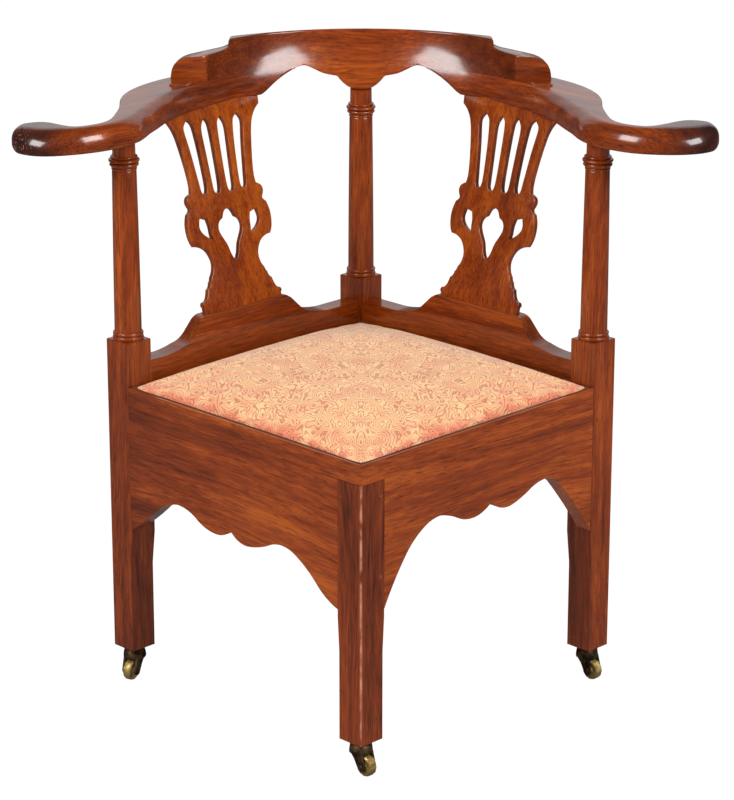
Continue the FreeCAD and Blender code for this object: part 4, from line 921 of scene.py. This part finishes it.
SPLAT_THICKNESS = 0.007
SPLAT_EASE = 0.0007
# The middle of its foot and head on the rail's own axes: along, outwards, up
splat_foot = np.array([-0.012, 0.2055, 0.472])
splat_head = np.array([0.0, bow_inner + 0.001, arm_low])
splat_height = float(np.linalg.norm(splat_head - splat_foot))
print("splat height", round(splat_height, 4))

# %% [markdown]
# ## Cutting and standing the splats
# The fretsaw goes round the outline and through each piercing, and a file eases
# the edges. Blender's filled curve does the same in one go: loops inside a loop
# are holes, and its bevel is the file's work. The board then becomes a mesh, which
# is stood up in its lean by three directions at right angles.

# %% Splats
def drawn(runs, hand):
    """Points along a chain of runs, for one hand of the board."""
    points = []
    for run in runs:
        marks = np.array(run)
        count = 2 if len(run) == 2 else 7 * (len(run) - 1) + 1
        line = batten(marks, np.linspace(0, len(run) - 1, count))
        points.append(line[:-1])
    points = np.concatenate(points + [np.array([runs[-1][-1]])])
    return np.column_stack([hand * points[:, 0] / 1000, points[:, 1] * splat_height])


def splat_mesh(name):
    """The board with its holes, still flat: one outline and seven holes, extruded."""
    curve = bpy.data.curves.new(name, "CURVE")
    curve.dimensions = "2D"
    curve.fill_mode = "BOTH"
    curve.bevel_depth = SPLAT_EASE
    curve.bevel_resolution = 2
    curve.offset = -curve.bevel_depth
    curve.extrude = SPLAT_THICKNESS / 2 - curve.bevel_depth
    right = drawn(SPLAT_EDGE, 1)
    loops = [np.concatenate([right, (right * (-1, 1))[::-1]])]
    for runs in SPLAT_HOLES:
        for hand in (-1, 1):
            loops.append(drawn(runs, hand)[:-1])
    urn = drawn(SPLAT_URN, 1)
    loops.append(np.concatenate([urn, (urn * (-1, 1))[-2:0:-1]]))
    for loop in loops:
        spline = curve.splines.new("POLY")
        spline.points.add(len(loop) - 1)
        flat = np.column_stack([loop, np.zeros(len(loop)), np.ones(len(loop))])
        spline.points.foreach_set("co", flat.ravel())
        spline.use_cyclic_u = True
    shape = put(name, curve)
    mesh = bpy.data.meshes.new_from_object(shape.evaluated_get(bpy.context.evaluated_depsgraph_get()))
    bpy.data.objects.remove(shape)
    return mesh


def standing_splat(name, hand):
    """The flat board set up: foot + across + up, turned 45 degrees to its rail."""
    up = (splat_head - splat_foot) / splat_height
    across = np.array([1.0, 0.0, 0.0]) - up * up[0]
    across = across / np.linalg.norm(across)
    inward = np.cross(across, up)
    mesh = splat_mesh(name)
    points = vertex_array(mesh)
    local = (splat_foot + points[:, 0:1] * across + points[:, 1:2] * up
             + (points[:, 2:3] - SPLAT_THICKNESS / 2) * inward)
    x = (local[:, 0] - local[:, 1]) * half_diagonal
    y = (local[:, 0] + local[:, 1]) * half_diagonal
    placed = np.column_stack([-hand * x, y + seat_centre[1], local[:, 2]])
    mesh.vertices.foreach_set("co", placed.ravel())
    return worked_over(mesh, merge=1e-6)


for node, hand in (("left_splat", -1), ("right_splat", 1)):
    name = node + "_shaped"
    shaped_piece(name, standing_splat(name, hand), boards_material[node], 35, node)
print("splats drawn")

# %% [markdown]
# ## Wood that nobody polishes
# Glue blocks, battens and the seat's frame are plain wood, seen only when the seat
# is lifted out. One flat brown would do from afar, but a simple banded figure with
# no coat costs little. The seat's frame has darkened most.

# %% Inner woods
def plain_wood(name, along, seed, colours):
    """Bands and specks stretched along a level board, with three colours."""
    wood = Finish(name, Roughness=0.75)
    place = wood.node("ShaderNodeTexCoord", {}, {}, "Object")
    board = wood.turned(place, -math.atan2(along[1], along[0]), (seed, 0.0, 0.0))
    bands = wood.noise(board, (4.0, 90.0, 90.0), 3.0)
    specks = wood.noise(board, (60.0, 900.0, 900.0), 2.0)
    wood.feed("Base Color", wood.ramp(0.6 * bands + 0.4 * specks, colours))
    wood.bump(bands + specks, 0.2, 0.0005)
    return wood.material


AGED = [(0.3, linear(92, 62, 38)), (0.5, linear(128, 92, 60)), (0.7, linear(152, 114, 78))]
FRAME_WOOD = [(0.3, linear(58, 36, 22)), (0.5, linear(86, 58, 36)), (0.7, linear(112, 80, 54))]
inner = {
    "back_left_seat_ledge": ALONG_LEFT,
    "back_right_seat_ledge": ALONG_RIGHT,
    "front_corner_block": ACROSS,
    "back_corner_block": ACROSS,
    "left_corner_block": (0.0, 1.0, 0.0),
    "right_corner_block": (0.0, 1.0, 0.0),
}
bars = {
    "seat_bar_front_left": ALONG_RIGHT,
    "seat_bar_back_right": ALONG_RIGHT,
    "seat_bar_front_right": ALONG_LEFT,
    "seat_bar_back_left": ALONG_LEFT,
}
for boards_of, first_seed, colours in ((inner, 0.0, AGED), (bars, 40.0, FRAME_WOOD)):
    for count, (node, along) in enumerate(boards_of.items()):
        dress(node, plain_wood("plain_" + node, along, first_seed + 3.0 * count, colours))
print("plain woods", len(inner) + len(bars))

# %% [markdown]
# ## Webbing and metal
# The webbing is coarse jute, and its crossing threads are fine enough to be left
# to colour and bump. The casters are cast and turned, so their finished solids
# need only metal. One even brass would look new. Handling has broken through the
# brown skin in places, most on the wheels, so noise mixes dull and bright.

# %% Webbing, screws, casters and pegs
JUTE_THREADS = 2200.0


def jute(name):
    """Webbing: a coarse over-and-under weave, the sum of two sines across each other."""
    cloth = Finish(name, Roughness=0.95)
    place = cloth.node("ShaderNodeTexCoord", {}, {}, "Object")
    across, along = cloth.parts(cloth.turned(place, math.pi / 4))
    weave = 0.5 + 0.25 * ((across * JUTE_THREADS).sine() + (along * JUTE_THREADS).sine())
    cloth.feed("Base Color", cloth.ramp(weave, [(0.1, linear(96, 78, 50)), (0.9, linear(176, 152, 110))]))
    cloth.bump(weave, 0.6, 0.0005)
    return cloth.material


def aged_metal(name, bright, dull, rough):
    """Metal with a brown skin that handling has broken through in places."""
    metal = Finish(name, Metallic=1.0)
    place = metal.node("ShaderNodeTexCoord", {}, {}, "Object")
    cloud = metal.noise(place, 70.0, 4.0, 0.6)
    grit = metal.noise(place, 900.0, 3.0, 0.6)
    skin = (0.7 * cloud + 0.3 * grit).steps(0.42, 0.60)
    metal.feed("Base Color", metal.mix(skin, dull, bright))
    metal.feed("Roughness", rough + 0.25 * (1 - skin) + 0.1 * grit)
    metal.bump(0.4 * cloud + 0.6 * grit, 0.25, 0.0004)
    return metal.material


iron = aged_metal("dull_iron", linear(120, 112, 104), linear(62, 52, 44), 0.45)
bronze = aged_metal("dark_bronze", linear(128, 100, 70), linear(50, 42, 34), 0.4)
wheel_brass = aged_metal("worn_brass", linear(228, 204, 138), linear(162, 132, 76), 0.46)
dress("seat_webbing", jute("jute_webbing"))
for node in ("crest_screws", "caster_screws"):
    dress(node, iron)
for corner in ("front", "left", "back", "right"):
    finished_copy(corner + "_caster_plate", bronze, 0.0003)
    finished_copy(corner + "_caster_horn", bronze, 0.0004)
    finished_copy(corner + "_caster_axle", iron, 0.0002)
    finished_copy(corner + "_caster_wheel", wheel_brass, 0.0004)
dress("joint_pegs", mahogany("mahogany_joint_pegs", UPRIGHT, 81.0, -0.12))
print("materials so far", len(bpy.data.materials))

# %% [markdown]
# ## The stuffed seat
# A slip seat is a frame with hair and linen built up on it and the cover drawn
# down over the edge. A plain rounded box would look hard, so its height above the
# frame is a product of four edge curves, one for each side: near an edge it climbs
# steeply, then it levels out into the crown. The front edges are fuller.

# %% Seat cover: the surface before it is stuffed
# The cover's sides from the seat's centre, its skirt, its crown and its cells
FRONT_EDGE = 0.2243
BACK_EDGE = 0.1888
SKIRT_DEPTH = 0.007
CROWN_HEIGHT = 0.030
COVER_CELLS = 96
# How much the cells crowd to the edges, and how far a side draws in
CROWDING = 0.96
SIDE_PULL = 0.0022


def to_chair(a, b, z):
    """From the seat's own axes, a to the front left and b to the front right."""
    x = (b - a) * half_diagonal + seat_centre[0]
    y = -(a + b) * half_diagonal + seat_centre[1]
    return np.stack([x, y, z], axis=-1)


def climb(distance, quick_share, quick_reach, slow_reach):
    """Share of the height reached at a distance d from an edge: two 1 - exp(-d / reach)."""
    inside = np.maximum(distance, 0.0)
    quick = 1 - np.exp(-inside / quick_reach)
    slow = 1 - np.exp(-inside / slow_reach)
    return quick_share * quick + (1 - quick_share) * slow


def cover_height(a, b):
    """Height over the rail's top: the product of the four edges' climbs."""
    front = climb(FRONT_EDGE - a, 0.55, 0.010, 0.060) * climb(FRONT_EDGE - b, 0.55, 0.010, 0.060)
    back = climb(BACK_EDGE + a, 0.35, 0.012, 0.045) * climb(BACK_EDGE + b, 0.35, 0.012, 0.045)
    return CROWN_HEIGHT * front * back


def seat_cover():
    """A closed form: the crowned top, an upright skirt and a flat underside.

    The cells crowd towards the edges by a sine, and the sides draw in between
    the corners by a little, most in the middle: pull (1 - v^2) u^8.
    """
    share = np.linspace(-1.0, 1.0, COVER_CELLS + 1)
    spread = np.sin(share * math.pi / 2 * CROWDING) / math.sin(math.pi / 2 * CROWDING)
    middle = (FRONT_EDGE - BACK_EDGE) / 2
    half = (FRONT_EDGE + BACK_EDGE) / 2
    u, v = np.meshgrid(spread, spread, indexing="ij")
    pull_u = SIDE_PULL * (1 - v ** 2) * u ** 8
    pull_v = SIDE_PULL * (1 - u ** 2) * v ** 8
    a = middle + u * half - np.sign(u) * pull_u
    b = middle + v * half - np.sign(v) * pull_v
    top = to_chair(a, b, rail_top - 0.001 + cover_height(a, b))
    bottom = to_chair(a, b, np.full_like(a, rail_top - SKIRT_DEPTH))
    count = COVER_CELLS + 1
    points = np.concatenate([top.reshape(-1, 3), bottom.reshape(-1, 3)])
    index = np.arange(count * count).reshape(count, count)
    upper = np.stack([index[:-1, :-1], index[:-1, 1:], index[1:, 1:], index[1:, :-1]], -1)
    lower = upper[..., ::-1] + count * count
    rim = np.concatenate([index[:-1, 0], index[-1, :-1], index[:0:-1, -1], index[0, :0:-1]])
    after = np.roll(rim, -1)
    skirt = np.stack([rim, after, after + count * count, rim + count * count], -1)
    faces = np.concatenate([upper.reshape(-1, 4), lower.reshape(-1, 4), skirt])
    return points, faces


cover_points, cover_faces = seat_cover()
cover = put("seat_cover", mesh_from("seat_cover", cover_points, cover_faces.tolist()))
print("seat cover", len(cover_points), "points")

# %% [markdown]
# ## Stuffing it
# Real stuffing is never quite even. Noise would make lumps that cloth doesn't
# have, so the cover is remeshed to even cells and blown up a little as cloth with
# air inside and no gravity. No point may move further than the cap, and the skirt
# inside the rebate stays where it was nailed.

# %% Stuffing by cloth simulation
STUFFING_CAP = 0.005
STUFFING_FRAMES = 20
STUFFING_PRESSURE = 4.0
CLOTH_CELL = 0.0045


def apply_modifiers(piece):
    """The piece's mesh becomes what its modifiers make of it."""
    shaped = piece.evaluated_get(bpy.context.evaluated_depsgraph_get())
    mesh = bpy.data.meshes.new_from_object(shaped)
    piece.modifiers.clear()
    piece.data = mesh


def stuffed(piece):
    """Remesh, inflate as pinned cloth for a few frames and cap the movement."""
    remesh = piece.modifiers.new("even cells", "REMESH")
    remesh.mode = "VOXEL"
    remesh.voxel_size = CLOTH_CELL
    apply_modifiers(piece)
    before = vertex_array(piece.data)
    nailed = before[:, 2] < rail_top + 0.001
    group = piece.vertex_groups.new(name="nailed")
    group.add(np.nonzero(nailed)[0].tolist(), 1.0, "REPLACE")
    cloth = piece.modifiers.new("stuffing", "CLOTH")
    cloth.settings.vertex_group_mass = "nailed"
    cloth.settings.use_pressure = True
    cloth.settings.uniform_pressure_force = STUFFING_PRESSURE
    cloth.settings.effector_weights.gravity = 0.0
    cloth.settings.tension_stiffness = 12.0
    cloth.settings.bending_stiffness = 2.0
    for step in range(STUFFING_FRAMES):
        scene.frame_set(step + 1)
    apply_modifiers(piece)
    after = vertex_array(piece.data)
    move = after - before
    reach = np.linalg.norm(move, axis=1, keepdims=True)
    capped = before + move * np.minimum(1.0, STUFFING_CAP / np.maximum(reach, 1e-9))
    piece.data.vertices.foreach_set("co", capped.ravel())
    piece.data.update()
    scene.frame_set(1)
    print("stuffing moved up to", round(float(reach.max()) * 1000, 1), "mm before the cap")


stuffed(cover)
smooth = cover.modifiers.new("smooth", "SUBSURF")
smooth.levels = 1
smooth.render_levels = 1
for polygon in cover.data.polygons:
    polygon.use_smooth = True

# %% [markdown]
# ## Pattern coordinates that follow the cloth
# The damask is woven flat and then drawn down over the edge. Seen from above the
# plan alone would do as a map, but it would smear the pattern down the sides. So
# each point's place in the pattern is its place in plan, pushed outwards by how
# far it has dropped near that edge. The map is a UV layer, in metres.

# %% The cover's own map
# The cloth falls from this far over the rail, within this reach of an edge, and
# the redder rose reaches this far in from the front
FALL_START = 0.018
GRIP = 0.014
RED_REACH = 0.022


def pattern_map(piece):
    """UV = plan + drop exp(distance past the edge / grip), and how near the front is."""
    points = vertex_array(piece.data)
    x = points[:, 0] - seat_centre[0]
    y = points[:, 1] - seat_centre[1]
    a = -(x + y) * half_diagonal
    b = (x - y) * half_diagonal
    drop = np.maximum(rail_top + FALL_START - points[:, 2], 0.0)
    a_moved = a + drop * (np.exp((a - FRONT_EDGE) / GRIP) - np.exp((-BACK_EDGE - a) / GRIP))
    b_moved = b + drop * (np.exp((b - FRONT_EDGE) / GRIP) - np.exp((-BACK_EDGE - b) / GRIP))
    u = (b_moved - a_moved) * half_diagonal
    v = -(a_moved + b_moved) * half_diagonal
    layer = piece.data.uv_layers.new(name="weave")
    corner = np.empty(len(piece.data.loops), dtype=int)
    piece.data.loops.foreach_get("vertex_index", corner)
    layer.data.foreach_set("uv", np.stack([u, v], -1)[corner].ravel())
    edge = np.minimum(FRONT_EDGE - a, FRONT_EDGE - b)
    near = piece.data.attributes.new("front_edge", "FLOAT", "POINT")
    near.data.foreach_set("value", np.exp(-np.maximum(edge, 0.0) / RED_REACH))


pattern_map(cover)
print("cover with its map", len(cover.data.polygons), "faces")

# %% [markdown]
# ## Damask
# The cloth has a pale straw ground with rose patches, and over it a fine brown
# line that curls and doubles back in even steps, mirrored about the middle. Curls
# laid one by one would take thousands of strokes. The line is drawn as level lines
# of a slow wandering field, like contours on a map, so it keeps an even spacing
# wherever it turns. A weave of fine threads breaks it.

# %% Damask material
STRAW = linear(241, 190, 138)
ROSE = linear(222, 130, 104)
RED_ROSE = linear(210, 82, 72)
LINE_BROWN = linear(138, 68, 46)
DAMASK_THREADS = 4200.0
FULL_TURN = 6.2832


def damask(name):
    """Straw, rose and red patches, and over them sine(full turn x level) as a brown line."""
    cloth = Finish(name, Roughness=0.9, Sheen_Weight=0.25, Specular_IOR_Level=0.2)
    place = cloth.node("ShaderNodeUVMap", {"uv_map": "weave"}, {})
    across, along = cloth.parts(place)
    mirrored = cloth.node("ShaderNodeCombineXYZ", {}, {0: across.size(), 1: along})
    drawn_out = cloth.scaled(mirrored, (1.0, 0.55, 1.0))
    field = cloth.noise(drawn_out, 26.0, 1.5, 0.45)
    swirl = cloth.noise(drawn_out, 95.0, 1.0, 0.4)
    level = field * 22.0 + swirl * 4.5
    curl = (level * FULL_TURN).sine()
    lines = curl.steps(-0.1, 0.7)
    specks = cloth.noise(drawn_out, 520.0, 2.0, 0.6).steps(0.42, 0.62)
    patches = cloth.noise(mirrored, 30.0, 2.0, 0.5).steps(0.46, 0.66)
    edge = cloth.node("ShaderNodeAttribute", {"attribute_name": "front_edge"}, {}, "Fac")
    redder = edge * cloth.noise(mirrored, 38.0, 1.0).steps(0.36, 0.60)
    thread = 0.5 + 0.25 * ((across * DAMASK_THREADS).sine() + (along * DAMASK_THREADS).sine())
    ground = cloth.mix(patches * 0.38, STRAW, ROSE)
    warmed = cloth.mix(redder * 0.75, ground, RED_ROSE)
    drawn_over = cloth.mix(lines * (0.38 + 0.36 * specks), warmed, LINE_BROWN)
    woven = cloth.mix(0.12 * (1 - thread), drawn_over, LINE_BROWN)
    cloth.feed("Base Color", woven)
    cloth.bump(0.6 * thread + 0.4 * lines, 0.35, 0.0005)
    return cloth.material


cover_damask = damask("cream_damask")
cover.data.materials.clear()
cover.data.materials.append(cover_damask)
dress("seat_cushion", cover_damask)
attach(cover, "slip_seat")
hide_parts("seat_cushion")
print("cover dressed in", cover_damask.name)

# %% [markdown]
# ## A white studio
# Two large soft boxes hang high on either side of the camera, as in a saleroom
# studio, and a white wall behind fills the shadows a little. The background could
# be lit until it is white, but that would wash out the chair. Instead the room and
# the floor are white to the camera, and dim in the polish and as light.

# %% Light, room and floor
def soft_box(name, place, aim, size, watts):
    """An area lamp at a place, turned towards its aim."""
    light = bpy.data.lights.new(name, "AREA")
    light.shape = "RECTANGLE"
    light.size = size[0]
    light.size_y = size[1]
    light.energy = watts
    lamp = put(name, light)
    lamp.location = place
    direction = np.array(aim) - np.array(place)
    pitch = math.atan2(math.hypot(direction[0], direction[1]), -direction[2])
    yaw = math.atan2(direction[0], -direction[1])
    lamp.rotation_euler = (pitch, 0.0, yaw + math.pi)
    print(name, watts, "W")


for name, side in (("left soft box", -2.35), ("right soft box", 2.35)):
    soft_box(name, (side, -1.95, 2.7), (0.0, 0.0, 0.5), (1.8, 1.5), 122.0)
soft_box("white wall behind", (0.0, 2.4, 1.75), (0.0, 0.0, 0.9), (4.0, 2.0), 15.0)


def seen_by(tree, camera_share, polish_share, other_share):
    """A strength that depends on who looks: the camera, a polished surface or the rest."""
    path = tree.nodes.new("ShaderNodeLightPath")
    total = None
    for ray, share in (("Is Camera Ray", camera_share - other_share),
                       ("Is Glossy Ray", polish_share - other_share)):
        part = tree.nodes.new("ShaderNodeMath")
        part.operation = "MULTIPLY_ADD"
        tree.links.new(path.outputs[ray], part.inputs[0])
        part.inputs[1].default_value = share
        if total is None:
            part.inputs[2].default_value = other_share
        else:
            tree.links.new(total, part.inputs[2])
        total = part.outputs[0]
    return total


world = bpy.data.worlds.new("studio")
scene.world = world
world.use_nodes = True
room = world.node_tree.nodes["Background"]
room.inputs[0].default_value = (1.0, 0.99, 0.98, 1.0)
world.node_tree.links.new(seen_by(world.node_tree, 1.0, 0.09, 0.22), room.inputs[1])

reach = 6.0
floor_mesh = bpy.data.meshes.new("floor")
floor_mesh.from_pydata([(-reach, -reach, 0), (reach, -reach, 0), (reach, reach, 0), (-reach, reach, 0)],
                       [], [(0, 1, 2, 3)])
floor = put("floor", floor_mesh)
pale = Finish("pale_floor", Base_Color=(0.9, 0.9, 0.9, 1.0), Roughness=0.9, Specular_IOR_Level=0.1)
floor_mesh.materials.append(pale.material)
glow = pale.tree.nodes.new("ShaderNodeEmission")
pale.tree.links.new(seen_by(pale.tree, 1.06, 0.16, 0.0), glow.inputs["Strength"])
blend = pale.tree.nodes.new("ShaderNodeMixShader")
pale.tree.links.new(seen_by(pale.tree, 0.94, 1.0, 0.0), blend.inputs[0])
pale.tree.links.new(pale.shader.outputs[0], blend.inputs[1])
pale.tree.links.new(glow.outputs[0], blend.inputs[2])
pale.tree.links.new(blend.outputs[0], pale.tree.nodes["Material Output"].inputs[0])
